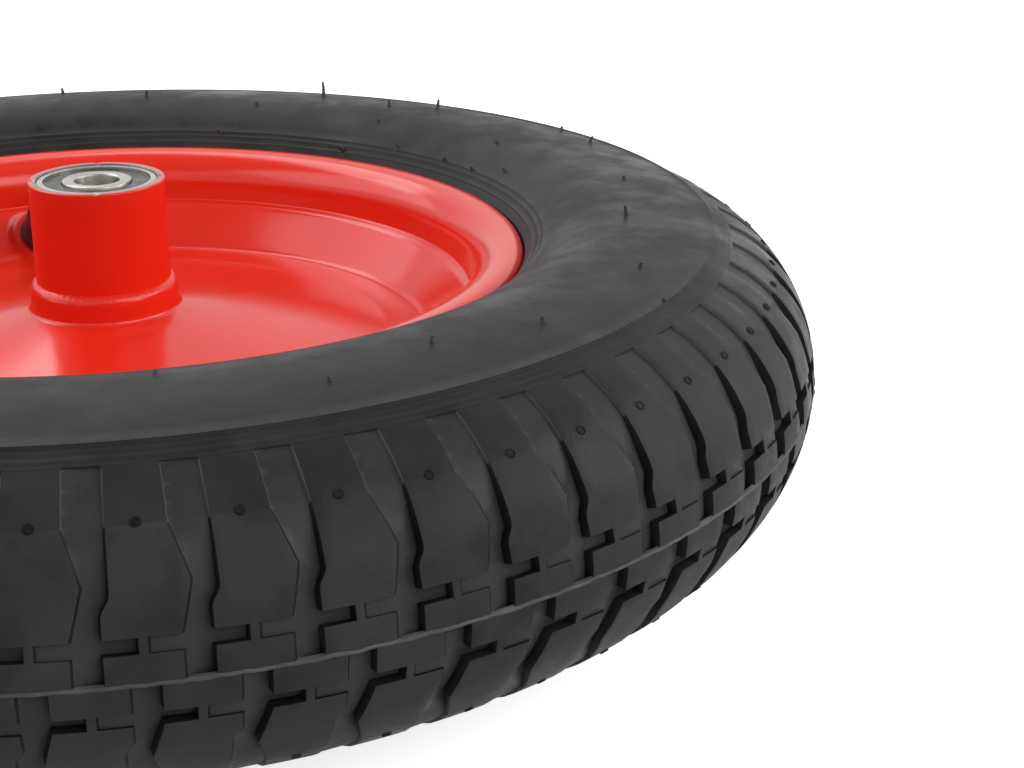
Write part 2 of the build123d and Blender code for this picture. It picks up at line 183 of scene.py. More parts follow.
class WheelColours(bpy.types.PropertyGroup):
    """Colours of the wheel's materials"""
    rubber: colour_property("Rubber", "Tyre rubber", (0.031, 0.031, 0.0315))
    paint: colour_property("Paint", "Rim and hub paint", (0.79, 0.022, 0.007))
    steel: colour_property("Steel", "Ground bearing steel", (0.5, 0.48, 0.44))
    shield: colour_property("Shield", "Pressed bearing shields", (0.13, 0.13, 0.13))
    valve_rubber: colour_property("Valve rubber", "Rubber of the valve stem", (0.035, 0.022, 0.02))
    brass: colour_property("Brass", "Metal tube and core of the valve", (0.78, 0.62, 0.36))
    cap: colour_property("Cap", "Plastic of the valve cap", (0.018, 0.018, 0.019))


class StageSizes(bpy.types.PropertyGroup):
    """Camera and studio"""
    camera_place: bpy.props.FloatVectorProperty(
        name="Camera place", description="Where the camera stands",
        default=(0.0, -0.50219, 0.17223), subtype="TRANSLATION")
    camera_target: bpy.props.FloatVectorProperty(
        name="Camera target", description="Point that the middle of the picture looks at",
        default=(0.1019, -0.0537, 0.0), subtype="TRANSLATION")
    camera_roll: angle_property("Camera roll", "Turn of the camera about its line of sight", 0.16)
    lens: bpy.props.FloatProperty(
        name="Lens", description="Focal length on a 36 mm wide sensor, in millimetres", default=66.04)
    floor_colour: colour_property("Floor colour", "Pale studio floor", (0.74, 0.74, 0.74))
    floor_glow: bpy.props.FloatProperty(
        name="Floor lift", description="How far the floor is lifted to white for the camera", default=0.78)
    world_light: bpy.props.FloatProperty(
        name="World light", description="Even light from all round", default=0.5)
    card_place: bpy.props.FloatVectorProperty(
        name="Card place", description="Middle of the grey card overhead", default=(0.1, -0.5, 1.7),
        subtype="TRANSLATION")
    card_size: bpy.props.FloatVectorProperty(
        name="Card size", description="Half length and half width of the card", default=(1.5, 1.3), size=2,
        unit="LENGTH")
    key_box: lamp_property("Key box", (167.0, 37.0, 1.4, 1.9, 0.85, 7.0))
    front_box: lamp_property("Front box", (-50.0, 36.0, 1.7, 1.2, 0.9, 8.5))
    side_box: lamp_property("Side box", (-8.0, 25.0, 1.6, 0.8, 0.7, 7.0))
    back_box: lamp_property("Back box", (115.0, 48.0, 1.5, 0.9, 0.6, 4.2))


# Tread pattern in millimetres, as lengths round the crown and heights from the middle plane

PATTERN = {
    "block": 14.5, "heel": 17.0, "heel_height": 18.3, "top": 13.75, "top_height": 27.0,
    "step": 1.85, "step_low": 13.2, "step_high": 16.8,
    "pocket_low": 6.1, "pocket_high": 9.2, "neck_start": 6.5, "neck_end": 8.2, "fade_height": 20.0,
}
# Heights, also in millimetres, of more rows of faces between the pattern's own
MORE_ROWS = (3.0, 11.2, 21.2, 24.1, 29.5, 32.0)
HEEL_FADE = 0.4  # Share of its depth that a groove's shallow side loses towards the shoulder
# Groove walls below this height get a near-black second material: painted shade.
STEEP_WALLS = 26.5 * MM  # Height above which a groove's walls lie too flat to look dark
GROOVE_WALL, GROOVE_FLOOR = 1, 2  # Kinds of faces in the tread's cell; the rest are 0
TOLERANCE = 1e-7  # For runs along the flat sheet, in metres
SIDEWALL_POINTS = 34  # Points of the tyre's section from the end of the lugs to just under the flange


def pitch_length(tyre):
    return 2 * math.pi * tyre.outer_radius / tyre.lugs


def run_of(tyre, height):
    """Way along the tread's arc from the crown to a height above the middle plane."""
    return tyre.tread_arc * math.asin(min(1.0, height / tyre.tread_arc))


def tread_point(tyre, turn, lift=0.0):
    """Radius and height of a point on the tread's round section."""
    centre = tyre.outer_radius - tyre.tread_arc
    reach = tyre.tread_arc + lift
    return Vector((centre + reach * math.cos(turn), reach * math.sin(turn)))


def arc_from(widest, end, steps):
    """Points along the arc that leaves the widest place level and ends at a point."""
    across = abs(end.x - widest.x)
    drop = widest.y - end.y
    radius = (across ** 2 + drop ** 2) / (2 * drop)
    sweep = 2 * math.atan2(drop, across)
    away = 1 if end.x > widest.x else -1
    return [
        Vector((widest.x + away * radius * math.sin(sweep * i / steps),
                widest.y - radius + radius * math.cos(sweep * i / steps)))
        for i in range(1, steps + 1)
    ]


def ring_rib(first, second, share, height):
    """Three points that raise a fine moulded ring on the line between two section points."""
    along = (second - first).normalized()
    out = Vector((along.y, -along.x))
    middle = first.lerp(second, share)
    half = 0.45 * MM
    return [middle - along * half, middle + out * height, middle + along * half]


def side_outline(tyre):
    """The tyre's section from the end of the lugs round the bead to the inside of the crown."""
    flange = node_radius("rim_half_lower")
    flange_top = node_top("rim_half_upper")
    shoulder = tread_point(tyre, tyre.shoulder_angle)
    edge = shoulder + Vector((-tyre.band_drop, tyre.band_rise))
    widest = Vector((flange + tyre.widest_share * (edge.x - flange), tyre.half_width))
    foot = Vector((flange + 0.15 * MM, flange_top - 1.6 * MM))
    points = [shoulder, shoulder.lerp(edge, 0.33), shoulder.lerp(edge, 0.66)]
    points += ring_rib(shoulder, edge, 0.93, 0.5 * MM)
    points += list(reversed(arc_from(widest, edge, 7)[:-1])) + [widest]
    inward = arc_from(widest, foot, 12)
    points += inward[:8]
    for before, share in ((8, 0.1), (8, 0.85), (9, 0.8)):
        points += ring_rib(inward[before], inward[before + 1], share, 0.22 * MM)
    points += inward[10:]
    return points + bead_and_cavity(tyre, foot)


def bead_and_cavity(tyre, foot):
    """The hidden rest of the section: under the flange, round the bead and inside the tyre."""
    seat = foot.x - 11.9 * MM
    curl_radius = 7.75 * MM
    under = Vector((foot.x, foot.y - 2.4 * MM))
    curl_middle = Vector((seat + curl_radius, foot.y - 8.1 * MM))
    curl = [
        curl_middle + Vector((-math.sin(t), math.cos(t))) * curl_radius
        for t in (math.radians(a) for a in (42, 58, 74, 90))
    ]
    toe = Vector((seat, 15.6 * MM))
    bead = Vector((seat + 8.85 * MM, 19.65 * MM))
    widest = Vector((140.6 * MM, tyre.half_width - tyre.skin))
    crown_skin = 5.2 * MM
    inner = tyre.tread_arc - tyre.lug_depth - crown_skin
    centre = tyre.outer_radius - tyre.tread_arc
    crown = [
        Vector((centre + inner * math.cos(t), inner * math.sin(t)))
        for t in (tyre.shoulder_angle * k / 4 for k in (4, 3, 2, 1, 0))
    ]
    return ([under] + curl + [toe, bead] + list(reversed(arc_from(widest, bead, 4)[:-1]))
            + [widest] + arc_from(widest, crown[0], 3)[:-1] + crown)


def measured(points, start):
    """Each section point with how far along the section it lies."""
    rows = [(start, points[0])]
    for before, after in zip(points, points[1:]):
        rows.append((rows[-1][0] + (after - before).length, after))
    return rows


def cut_flat(bm, low, high, first, second):
    """Cut the flat sheet's faces between two runs along the line through two points."""
    faces = [f for f in bm.faces if low < f.calc_center_median().y < high]
    edges = {e for f in faces for e in f.edges}
    corners = {v for f in faces for v in f.verts}
    across = (second[1] - first[1], first[0] - second[0], 0)
    bmesh.ops.bisect_plane(
        bm, geom=faces + list(edges) + list(corners), dist=1e-8,
        plane_co=(first[0], first[1], 0), plane_no=across)


def eased(share):
    """A share from 0 to 1 with a smooth start and end."""
    return share * share * (3 - 2 * share)


def groove_rows(tyre):
    """For each band of heights: both groove walls, as lengths at the band's lower and upper end."""
    p = PATTERN
    pitch = pitch_length(tyre) / MM
    heel_rise = (p["heel"] - p["block"]) / (p["heel_height"] - p["pocket_high"])

    def heel(height):
        return p["block"] + heel_rise * (height - p["pocket_high"])

    parts = 4
    rise = (p["step_high"] - p["step_low"]) / parts
    jog = []
    for k in range(parts):
        low, high = p["step_low"] + rise * k, p["step_low"] + rise * (k + 1)
        jog.append((low, high, heel(low), heel(high), pitch + p["step"] * eased(k / parts),
                    pitch + p["step"] * eased((k + 1) / parts)))
    end = tyre.tread_arc * math.sin(tyre.shoulder_angle) / MM
    far = pitch + p["step"]
    return [
        (0.0, p["pocket_low"], p["block"], p["block"], pitch, pitch),
        (p["pocket_low"], p["pocket_high"], p["neck_end"], p["neck_end"],
         pitch + p["neck_start"], pitch + p["neck_start"]),
        (p["pocket_high"], p["step_low"], p["block"], heel(p["step_low"]), pitch, pitch),
        *jog,
        (p["step_high"], p["heel_height"], heel(p["step_high"]), p["heel"], far, far),
        (p["heel_height"], p["top_height"], p["heel"], p["top"], far, far),
        (p["top_height"], end, p["top"], p["top"], far, far),
    ]


def main_walls(bands, height):
    """Both walls of the groove at a height, in millimetres, without the pockets."""
    for low, high, left_low, left_high, right_low, right_high in bands:
        if low <= height <= high and low != PATTERN["pocket_low"]:
            share = (height - low) / (high - low)
            return left_low + share * (left_high - left_low), right_low + share * (right_high - right_low)
    return bands[0][2], bands[0][4]


def floor_depth(tyre, bands, length, height, turned=False):
    """Depth of the groove floor, which slopes from one lug to the next, or the other way when turned."""
    top = PATTERN["top_height"]
    left, right = main_walls(bands, height)
    across = limited((length - left) / (right - left))
    if turned:
        across = 1 - across
    fade = limited((height - PATTERN["fade_height"]) / (top - PATTERN["fade_height"]))
    beyond = limited((height - top) / (bands[-1][1] - top))
    deep = tyre.lug_depth + (tyre.run_out_depth - tyre.lug_depth) * fade
    deep += (tyre.shoulder_depth - tyre.run_out_depth) * beyond
    shallow = tyre.heel_depth * (1 - HEEL_FADE * fade)
    return shallow + (deep - shallow) * across


def wall_side(tyre, bands, length, run):
    """1 on a groove's left wall, -1 on its right wall and 0 elsewhere. The length is in millimetres."""
    near = 0.002
    for low, high, left_low, left_high, right_low, right_high in bands:
        bottom, top = run_of(tyre, low * MM), run_of(tyre, high * MM)
        if bottom - TOLERANCE <= run <= top + TOLERANCE:
            share = (run - bottom) / (top - bottom)
            if abs(length - left_low - share * (left_high - left_low)) < near:
                return 1
            if abs(length - right_low - share * (right_high - right_low)) < near:
                return -1
    return 0


def groove_middle(tyre):
    """Length from the start of a block to the middle of the groove that follows it."""
    return (PATTERN["block"] * MM + pitch_length(tyre)) / 2


def cell_sheet(tyre, rows, bands):
    """One pitch of the upper side as a flat sheet, cut into rows and columns."""
    pitch = pitch_length(tyre)
    neck = (PATTERN["neck_start"] + PATTERN["neck_end"]) / 2 * MM - groove_middle(tyre)
    half_groove = (pitch - PATTERN["block"] * MM) / 2
    far = rows[-1][0]
    bm = bmesh.new()
    bm.faces.layers.int.new("kind")
    bm.verts.layers.float.new("turned depth")
    bm.faces.new([bm.verts.new(c) for c in (
        (neck, 0, 0), (neck + pitch, 0, 0), (neck + pitch, far, 0), (neck, far, 0))])
    heights = {low for low, *_ in bands} | set(MORE_ROWS) | {bands[-1][1]}
    runs = sorted(run_of(tyre, h * MM) for h in heights)
    for run in runs[1:] + [r for r, _ in rows[1:-1]]:
        cut_flat(bm, -1, far + 1, (0, run), (1, run))
    for column in sorted({-half_groove, half_groove, pitch / 2 - half_groove, half_groove - pitch / 2,
                          pitch / 2 - (neck + pitch)}):
        cut_flat(bm, -1, far + 1, (column, 0), (column, 1))
    return bm


def groove_faces(tyre, bands, bm):
    """Cut the groove's walls into the sheet and list the faces between them."""
    middle = groove_middle(tyre)
    groove = []
    for low, high, left_low, left_high, right_low, right_high in bands:
        bottom, top = run_of(tyre, low * MM), run_of(tyre, high * MM)
        left = ((left_low * MM - middle, bottom), (left_high * MM - middle, top))
        right = ((right_low * MM - middle, bottom), (right_high * MM - middle, top))
        cut_flat(bm, bottom, top, *left)
        cut_flat(bm, bottom, top, *right)
        for face in bm.faces:
            place = face.calc_center_median()
            if bottom < place.y < top:
                share = (place.y - bottom) / (top - bottom)
                if (left[0][0] + share * (left[1][0] - left[0][0]) < place.x
                        < right[0][0] + share * (right[1][0] - right[0][0])):
                    groove.append(face)
    return groove


def flat_cell(tyre, rows):
    """One pitch of the upper side as a flat sheet, with its groove pressed down."""
    bands = groove_rows(tyre)
    bm = cell_sheet(tyre, rows, bands)
    groove = groove_faces(tyre, bands, bm)
    kind = bm.faces.layers.int["kind"]
    turned_depth = bm.verts.layers.float["turned depth"]
    known = set(bm.faces)
    pressed = bmesh.ops.extrude_face_region(bm, geom=groove)["geom"]
    for vert in (g for g in pressed if isinstance(g, bmesh.types.BMVert)):
        length, run = (vert.co.x + groove_middle(tyre)) / MM, vert.co.y
        height = min(bands[-1][1], tyre.tread_arc * math.sin(run / tyre.tread_arc) / MM)
        depth = floor_depth(tyre, bands, length, height)
        vert.co.z = -depth
        vert[turned_depth] = floor_depth(tyre, bands, length, height, True)
        vert.co.x += wall_side(tyre, bands, length, run) * min(tyre.wall_lean, depth)
    left_over = [f for f in groove if f.is_valid]
    if left_over:
        bmesh.ops.delete(bm, geom=left_over, context="FACES")
    floor = {g for g in pressed if isinstance(g, bmesh.types.BMFace)}
    for face in bm.faces:
        if face in floor:
            face[kind] = GROOVE_FLOOR
        elif face not in known:
            face[kind] = GROOVE_WALL
    return bm


def wrap_section(tyre, rows, bm):
    """Bend the flat sheet round the tyre: lengths become angles and runs follow the section."""
    arc_end = rows[0][0]
    for vert in bm.verts:
        length, run, lift = vert.co
        if run <= arc_end + TOLERANCE:
            place = tread_point(tyre, run / tyre.tread_arc, lift)
        else:
            place = rows[-1][1]
            for (near, first), (away, second) in zip(rows, rows[1:]):
                if run <= away + TOLERANCE:
                    place = first.lerp(second, limited((run - near) / (away - near)))
                    break
        angle = length / tyre.outer_radius
        vert.co = (place.x * math.cos(angle), place.x * math.sin(angle), place.y)


def tyre_ring(tyre):
    """The whole tyre: one cell, its turned-over twin, and both repeated round the axle.

    The twin's groove floors slope the same way round the wheel as the cell's.
    """
    outline = side_outline(tyre)
    rows = measured(outline, tyre.tread_arc * tyre.shoulder_angle)
    bm = flat_cell(tyre, rows)
    step = 2 * math.pi / tyre.lugs
    twin = bmesh.ops.duplicate(bm, geom=bm.verts[:] + bm.edges[:] + bm.faces[:])["geom"]
    twin_verts = [g for g in twin if isinstance(g, bmesh.types.BMVert)]
    turned_depth = bm.verts.layers.float["turned depth"]
    for vert in twin_verts:
        if vert.co.z < 0:
            vert.co.z = -vert[turned_depth]
    wrap_section(tyre, rows, bm)
    turn = Matrix.Rotation(step / 2, 3, "Z") @ Matrix.Rotation(math.pi, 3, "X")
    bmesh.ops.rotate(bm, cent=(0, 0, 0), matrix=turn, verts=twin_verts)
    bmesh.ops.rotate(
        bm, cent=(0, 0, 0), matrix=Matrix.Rotation(tyre.start_angle, 3, "Z"), verts=bm.verts)
    bmesh.ops.spin(
        bm, geom=bm.verts[:] + bm.edges[:] + bm.faces[:], cent=(0, 0, 0), axis=(0, 0, 1),
        dvec=(0, 0, 0), angle=step * (tyre.lugs - 1), steps=tyre.lugs - 1, use_duplicate=True)
    bmesh.ops.remove_doubles(bm, verts=bm.verts, dist=0.02 * MM)
    round_lugs(tyre, bm)
    bmesh.ops.recalc_face_normals(bm, faces=bm.faces)
    kind = bm.faces.layers.int["kind"]
    for face in bm.faces:
        # Steep groove walls take the second, near-black material: painted shade in the grooves.
        steep = face[kind] == GROOVE_WALL and abs(face.calc_center_median().z) < STEEP_WALLS
        face.material_index = 1 if steep else 0
    return bm


def round_lugs(tyre, bm):
    """Round the lugs' upper edges."""
    kind = bm.faces.layers.int["kind"]
    edges = [
        e for e in bm.edges
        if len(e.link_faces) == 2 and {f[kind] for f in e.link_faces} == {0, GROOVE_WALL}
    ]
    bmesh.ops.bevel(
        bm, geom=edges, offset=tyre.edge_round, segments=2, affect="EDGES",
        profile=0.5, material=-1, clamp_overlap=True)


# Shared shader node groups

def fill(tree, socket, value):
    """Give a socket a link, a number or a colour."""
    if isinstance(value, bpy.types.NodeSocket):
        tree.links.new(value, socket)
    elif isinstance(value, (int, float)):
        socket.default_value = value
    else:
        socket.default_value = (*value, 1)


def shader_group(name, inputs, outputs):
    """An empty node group with named sockets, its nodes, its links and both of its ends."""
    group = bpy.data.node_groups.new(name, "ShaderNodeTree")
    for label, kind, value in inputs:
        socket = group.interface.new_socket(name=label, in_out="INPUT", socket_type=kind)
        if value is not None:
            socket.default_value = value
    for label, kind in outputs:
        group.interface.new_socket(name=label, in_out="OUTPUT", socket_type=kind)
    taken = group.nodes.new("NodeGroupInput")
    given = group.nodes.new("NodeGroupOutput")
    return group, taken.outputs, given.inputs


def math_node(tree, operation, *values):
    """A Math node fed by sockets or numbers, and its result."""
    node = tree.nodes.new("ShaderNodeMath")
    node.operation = operation
    for socket, value in zip(node.inputs, values):
        fill(tree, socket, value)
    return node.outputs[0]


def distance_of(tree, first, second):
    """Length of a line from its two parts at right angles."""
    square = math_node(tree, "ADD", math_node(tree, "MULTIPLY", first, first),
                       math_node(tree, "MULTIPLY", second, second))
    return math_node(tree, "SQRT", square)


def colour_mix(tree, share, first, second):
    """Mix two colours, given as sockets or values, by a mask."""
    mix = tree.nodes.new("ShaderNodeMix")
    mix.data_type = "RGBA"
    for place, value in ((0, share), (6, first), (7, second)):
        fill(tree, mix.inputs[place], value)
    return mix.outputs[2]


def noise_node(tree, place, scale, detail=3.0, roughness=0.5):
    """A Noise Texture on the given coordinates, and its value."""
    node = tree.nodes.new("ShaderNodeTexNoise")
    for label, value in (("Vector", place), ("Scale", scale), ("Detail", detail), ("Roughness", roughness)):
        fill(tree, node.inputs[label], value)
    return node.outputs["Fac"]


def ramp_between(tree, value, low, high):
    """A smooth rise from 0 to 1 between two limits."""
    node = tree.nodes.new("ShaderNodeMapRange")
    node.interpolation_type = "SMOOTHSTEP"
    for label, limit in (("Value", value), ("From Min", low), ("From Max", high)):
        fill(tree, node.inputs[label], limit)
    return node.outputs["Result"]


def radius_of(tree, place):
    """Distance from the axle line, with the three coordinates."""
    split = tree.nodes.new("ShaderNodeSeparateXYZ")
    tree.links.new(place, split.inputs[0])
    x, y, z = split.outputs
    return distance_of(tree, x, y), x, y, z


def make_cloudy_tone():
    """Two colours that drift into each other, as on smudged rubber or hand-wiped steel."""
    tree, taken, given = shader_group("Cloudy tone", (
        ("Place", "NodeSocketVector", None), ("Scale", "NodeSocketFloat", 30.0),
        ("Detail", "NodeSocketFloat", 4.0), ("Contrast", "NodeSocketFloat", 0.2),
        ("First", "NodeSocketColor", (0.03, 0.03, 0.03, 1)),
        ("Second", "NodeSocketColor", (0.06, 0.06, 0.06, 1)),
    ), (("Colour", "NodeSocketColor"), ("Share", "NodeSocketFloat")))
    cloud = noise_node(tree, taken["Place"], taken["Scale"], taken["Detail"], 0.6)
    low = math_node(tree, "SUBTRACT", 0.5, taken["Contrast"])
    high = math_node(tree, "ADD", 0.5, taken["Contrast"])
    share = ramp_between(tree, cloud, low, high)
    tree.links.new(colour_mix(tree, share, taken["First"], taken["Second"]), given["Colour"])
    tree.links.new(share, given["Share"])
    return tree


def make_fine_grain():
    """Height of a fine grain with a slower swell under it."""
    tree, taken, given = shader_group("Fine grain", (
        ("Place", "NodeSocketVector", None), ("Scale", "NodeSocketFloat", 1500.0),
        ("Swell scale", "NodeSocketFloat", 120.0), ("Swell", "NodeSocketFloat", 0.5),
    ), (("Height", "NodeSocketFloat"),))
    grain = noise_node(tree, taken["Place"], taken["Scale"], 2.0, 0.6)
    swell = noise_node(tree, taken["Place"], taken["Swell scale"], 2.0, 0.5)
    height = math_node(tree, "MULTIPLY_ADD", swell, taken["Swell"], grain)
    tree.links.new(height, given["Height"])
    return tree


def make_ring_zone():
    """Mask of a ring round the axle, between two radii and two heights on both sides."""
    tree, taken, given = shader_group("Ring zone", (
        ("Place", "NodeSocketVector", None), ("Inner", "NodeSocketFloat", 0.0),
        ("Outer", "NodeSocketFloat", 1.0), ("Low", "NodeSocketFloat", 0.0),
        ("High", "NodeSocketFloat", 1.0), ("Softness", "NodeSocketFloat", 0.001),
        ("Raggedness", "NodeSocketFloat", 0.0), ("Rag scale", "NodeSocketFloat", 200.0),
    ), (("Mask", "NodeSocketFloat"),))
    radius, _, _, z = radius_of(tree, taken["Place"])
    rag = noise_node(tree, taken["Place"], taken["Rag scale"], 4.0, 0.65)
    shift = math_node(tree, "MULTIPLY", math_node(tree, "SUBTRACT", rag, 0.5), taken["Raggedness"])
    radius = math_node(tree, "ADD", radius, shift)
    height = math_node(tree, "ADD", math_node(tree, "ABSOLUTE", z), shift)
    mask = None
    for value, low, high in ((radius, "Inner", "Outer"), (height, "Low", "High")):
        start = math_node(tree, "SUBTRACT", taken[low], taken["Softness"])
        end = math_node(tree, "ADD", taken[high], taken["Softness"])
        rise = ramp_between(tree, value, start, taken[low])
        fall = math_node(tree, "SUBTRACT", 1.0, ramp_between(tree, value, taken[high], end))
        both = math_node(tree, "MULTIPLY", rise, fall)
        mask = both if mask is None else math_node(tree, "MULTIPLY", mask, both)
    tree.links.new(mask, given["Mask"])
    return tree


def make_sunk_zone():
    """Mask of what lies below the tread's round section, such as the groove floors."""
    tree, taken, given = shader_group("Sunk zone", (
        ("Place", "NodeSocketVector", None), ("Centre", "NodeSocketFloat", 0.155),
        ("Arc", "NodeSocketFloat", 0.0374), ("Start", "NodeSocketFloat", 0.0002),
        ("End", "NodeSocketFloat", 0.0006),
    ), (("Mask", "NodeSocketFloat"),))
    radius, _, _, z = radius_of(tree, taken["Place"])
    across = math_node(tree, "SUBTRACT", radius, taken["Centre"])
    below = math_node(tree, "SUBTRACT", taken["Arc"], distance_of(tree, across, z))
    tree.links.new(ramp_between(tree, below, taken["Start"], taken["End"]), given["Mask"])
    return tree


def make_turned_rings():
    """Height of fine rings round the axle, such as a lathe or a mould leaves."""
    tree, taken, given = shader_group("Turned rings", (
        ("Place", "NodeSocketVector", None), ("Spacing", "NodeSocketFloat", 0.001),
        ("Waver", "NodeSocketFloat", 0.5),
    ), (("Height", "NodeSocketFloat"),))
    radius, _, _, z = radius_of(tree, taken["Place"])
    across = math_node(tree, "ADD", radius, math_node(tree, "ABSOLUTE", z))
    turns = math_node(tree, "DIVIDE", across, taken["Spacing"])
    drift = math_node(tree, "MULTIPLY", noise_node(tree, taken["Place"], 60.0, 3.0), taken["Waver"])
    phase = math_node(tree, "MULTIPLY", math_node(tree, "ADD", turns, drift), 2 * math.pi)
    height = math_node(tree, "MULTIPLY_ADD", math_node(tree, "SINE", phase), 0.5, 0.5)
    tree.links.new(height, given["Height"])
    return tree


def make_specks():
    """Mask of small scattered specks, such as chips in paint or dust on rubber."""
    tree, taken, given = shader_group("Specks", (
        ("Place", "NodeSocketVector", None), ("Scale", "NodeSocketFloat", 120.0),
        ("Size", "NodeSocketFloat", 0.1), ("Share", "NodeSocketFloat", 0.1),
    ), (("Mask", "NodeSocketFloat"),))
    cells = tree.nodes.new("ShaderNodeTexVoronoi")
    tree.links.new(taken["Place"], cells.inputs["Vector"])
    tree.links.new(taken["Scale"], cells.inputs["Scale"])
    split = tree.nodes.new("ShaderNodeSeparateColor")
    tree.links.new(cells.outputs["Color"], split.inputs[0])
    picked = math_node(tree, "LESS_THAN", split.outputs[0], taken["Share"])
    ragged = math_node(tree, "MULTIPLY_ADD", noise_node(tree, taken["Place"], 900.0), 0.1,
                       cells.outputs["Distance"])
    edge = math_node(tree, "MULTIPLY", taken["Size"], 1.25)
    spot = math_node(tree, "SUBTRACT", 1.0, ramp_between(tree, ragged, taken["Size"], edge))
    tree.links.new(math_node(tree, "MULTIPLY", spot, picked), given["Mask"])
    return tree


def make_spoke_lines():
    """Height of thin radial lines, such as the vent lines of a tyre's mould."""
    tree, taken, given = shader_group("Spoke lines", (
        ("Place", "NodeSocketVector", None), ("Number", "NodeSocketFloat", 36.0),
        ("Width", "NodeSocketFloat", 0.0006),
    ), (("Height", "NodeSocketFloat"),))
    radius, x, y, _ = radius_of(tree, taken["Place"])
    turns = math_node(tree, "DIVIDE", math_node(tree, "ARCTAN2", y, x), 2 * math.pi)
    count = math_node(tree, "MULTIPLY", turns, taken["Number"])
    off = math_node(tree, "ABSOLUTE", math_node(tree, "SUBTRACT", math_node(tree, "FRACT", count), 0.5))
    length = math_node(tree, "DIVIDE", math_node(tree, "MULTIPLY", off, radius), taken["Number"])
    away = math_node(tree, "MULTIPLY", length, 2 * math.pi)
    line = math_node(tree, "SUBTRACT", 1.0, ramp_between(tree, away, 0.0, taken["Width"]))
    tree.links.new(line, given["Height"])
    return tree


GROUPS = {}


def shared_group(name):
    """A shared node group, built the first time that a material asks for it."""
    makers = {
        "cloudy tone": make_cloudy_tone, "fine grain": make_fine_grain, "ring zone": make_ring_zone,
        "sunk zone": make_sunk_zone, "turned rings": make_turned_rings, "specks": make_specks,
        "spoke lines": make_spoke_lines,
    }
    if name not in GROUPS:
        GROUPS[name] = makers[name]()
    return GROUPS[name]


class Finish:
    """One material in the making: its tree, its shader and the object's own coordinates."""

    def __init__(self, name, **constants):
        self.material = bpy.data.materials.new(name)
        self.material.use_nodes = True
        self.tree = self.material.node_tree
        self.shader = self.tree.nodes["Principled BSDF"]
        self.place = self.tree.nodes.new("ShaderNodeTexCoord").outputs["Object"]
        for label, value in constants.items():
            self.shader.inputs[label.replace("_", " ").title().replace("Ior", "IOR")].default_value = value

    def turned_to(self, matrix):
        """Move the pattern's coordinates into a piece's own place and direction."""
        node = self.tree.nodes.new("ShaderNodeMapping")
        node.vector_type = "TEXTURE"
        node.inputs["Location"].default_value = matrix.to_translation()
        node.inputs["Rotation"].default_value = matrix.to_euler()
        self.tree.links.new(self.place, node.inputs["Vector"])
        self.place = node.outputs[0]

    def use(self, group, output, **values):
        """Place a shared group with its own values and give back one output."""
        node = self.tree.nodes.new("ShaderNodeGroup")
        node.node_tree = shared_group(group)
        self.tree.links.new(self.place, node.inputs["Place"])
        for label, value in values.items():
            node.inputs[label.replace("_", " ").capitalize()].default_value = value
        return node.outputs[output]

    def drift(self, base, low, high, scale, detail, contrast):
        """A colour that drifts between two shares of a base colour."""
        return self.use("cloudy tone", "Colour", scale=scale, detail=detail, contrast=contrast,
                        first=(*(base * low), 1), second=(*(base * high), 1))

    def cloud(self, scale, detail, contrast):
        """Mask of drifting patches."""
        return self.use("cloudy tone", "Share", scale=scale, detail=detail, contrast=contrast)

    def number(self, operation, *values):
        return math_node(self.tree, operation, *values)

    def blend(self, share, first, second):
        return colour_mix(self.tree, share, first, second)

    def tint(self, colour, mask, strength, other):
        """A colour with another laid over it where a mask says."""
        return self.blend(self.number("MULTIPLY", mask, strength), colour, other)

    def between(self, share, first, second):
        """A number that goes from first to second with a mask."""
        return self.number("MULTIPLY_ADD", share, second - first, first)

    def feed(self, label, socket):
        self.tree.links.new(socket, self.shader.inputs[label])

    def bump(self, height, distance):
        """Add a height to the surface, over any earlier one."""
        node = self.tree.nodes.new("ShaderNodeBump")
        node.inputs["Strength"].default_value = 1.0
        node.inputs["Distance"].default_value = distance
        self.tree.links.new(height, node.inputs["Height"])
        earlier = self.shader.inputs["Normal"]
        if earlier.is_linked:
            self.tree.links.new(earlier.links[0].from_socket, node.inputs["Normal"])
        self.tree.links.new(node.outputs["Normal"], earlier)

    def grain(self, scale, swell_scale, swell, distance):
        """Raise a fine grain, with a slower swell under it, on the surface."""
        self.bump(self.use("fine grain", "Height", scale=scale, swell_scale=swell_scale, swell=swell),
                  distance)


# Finishes

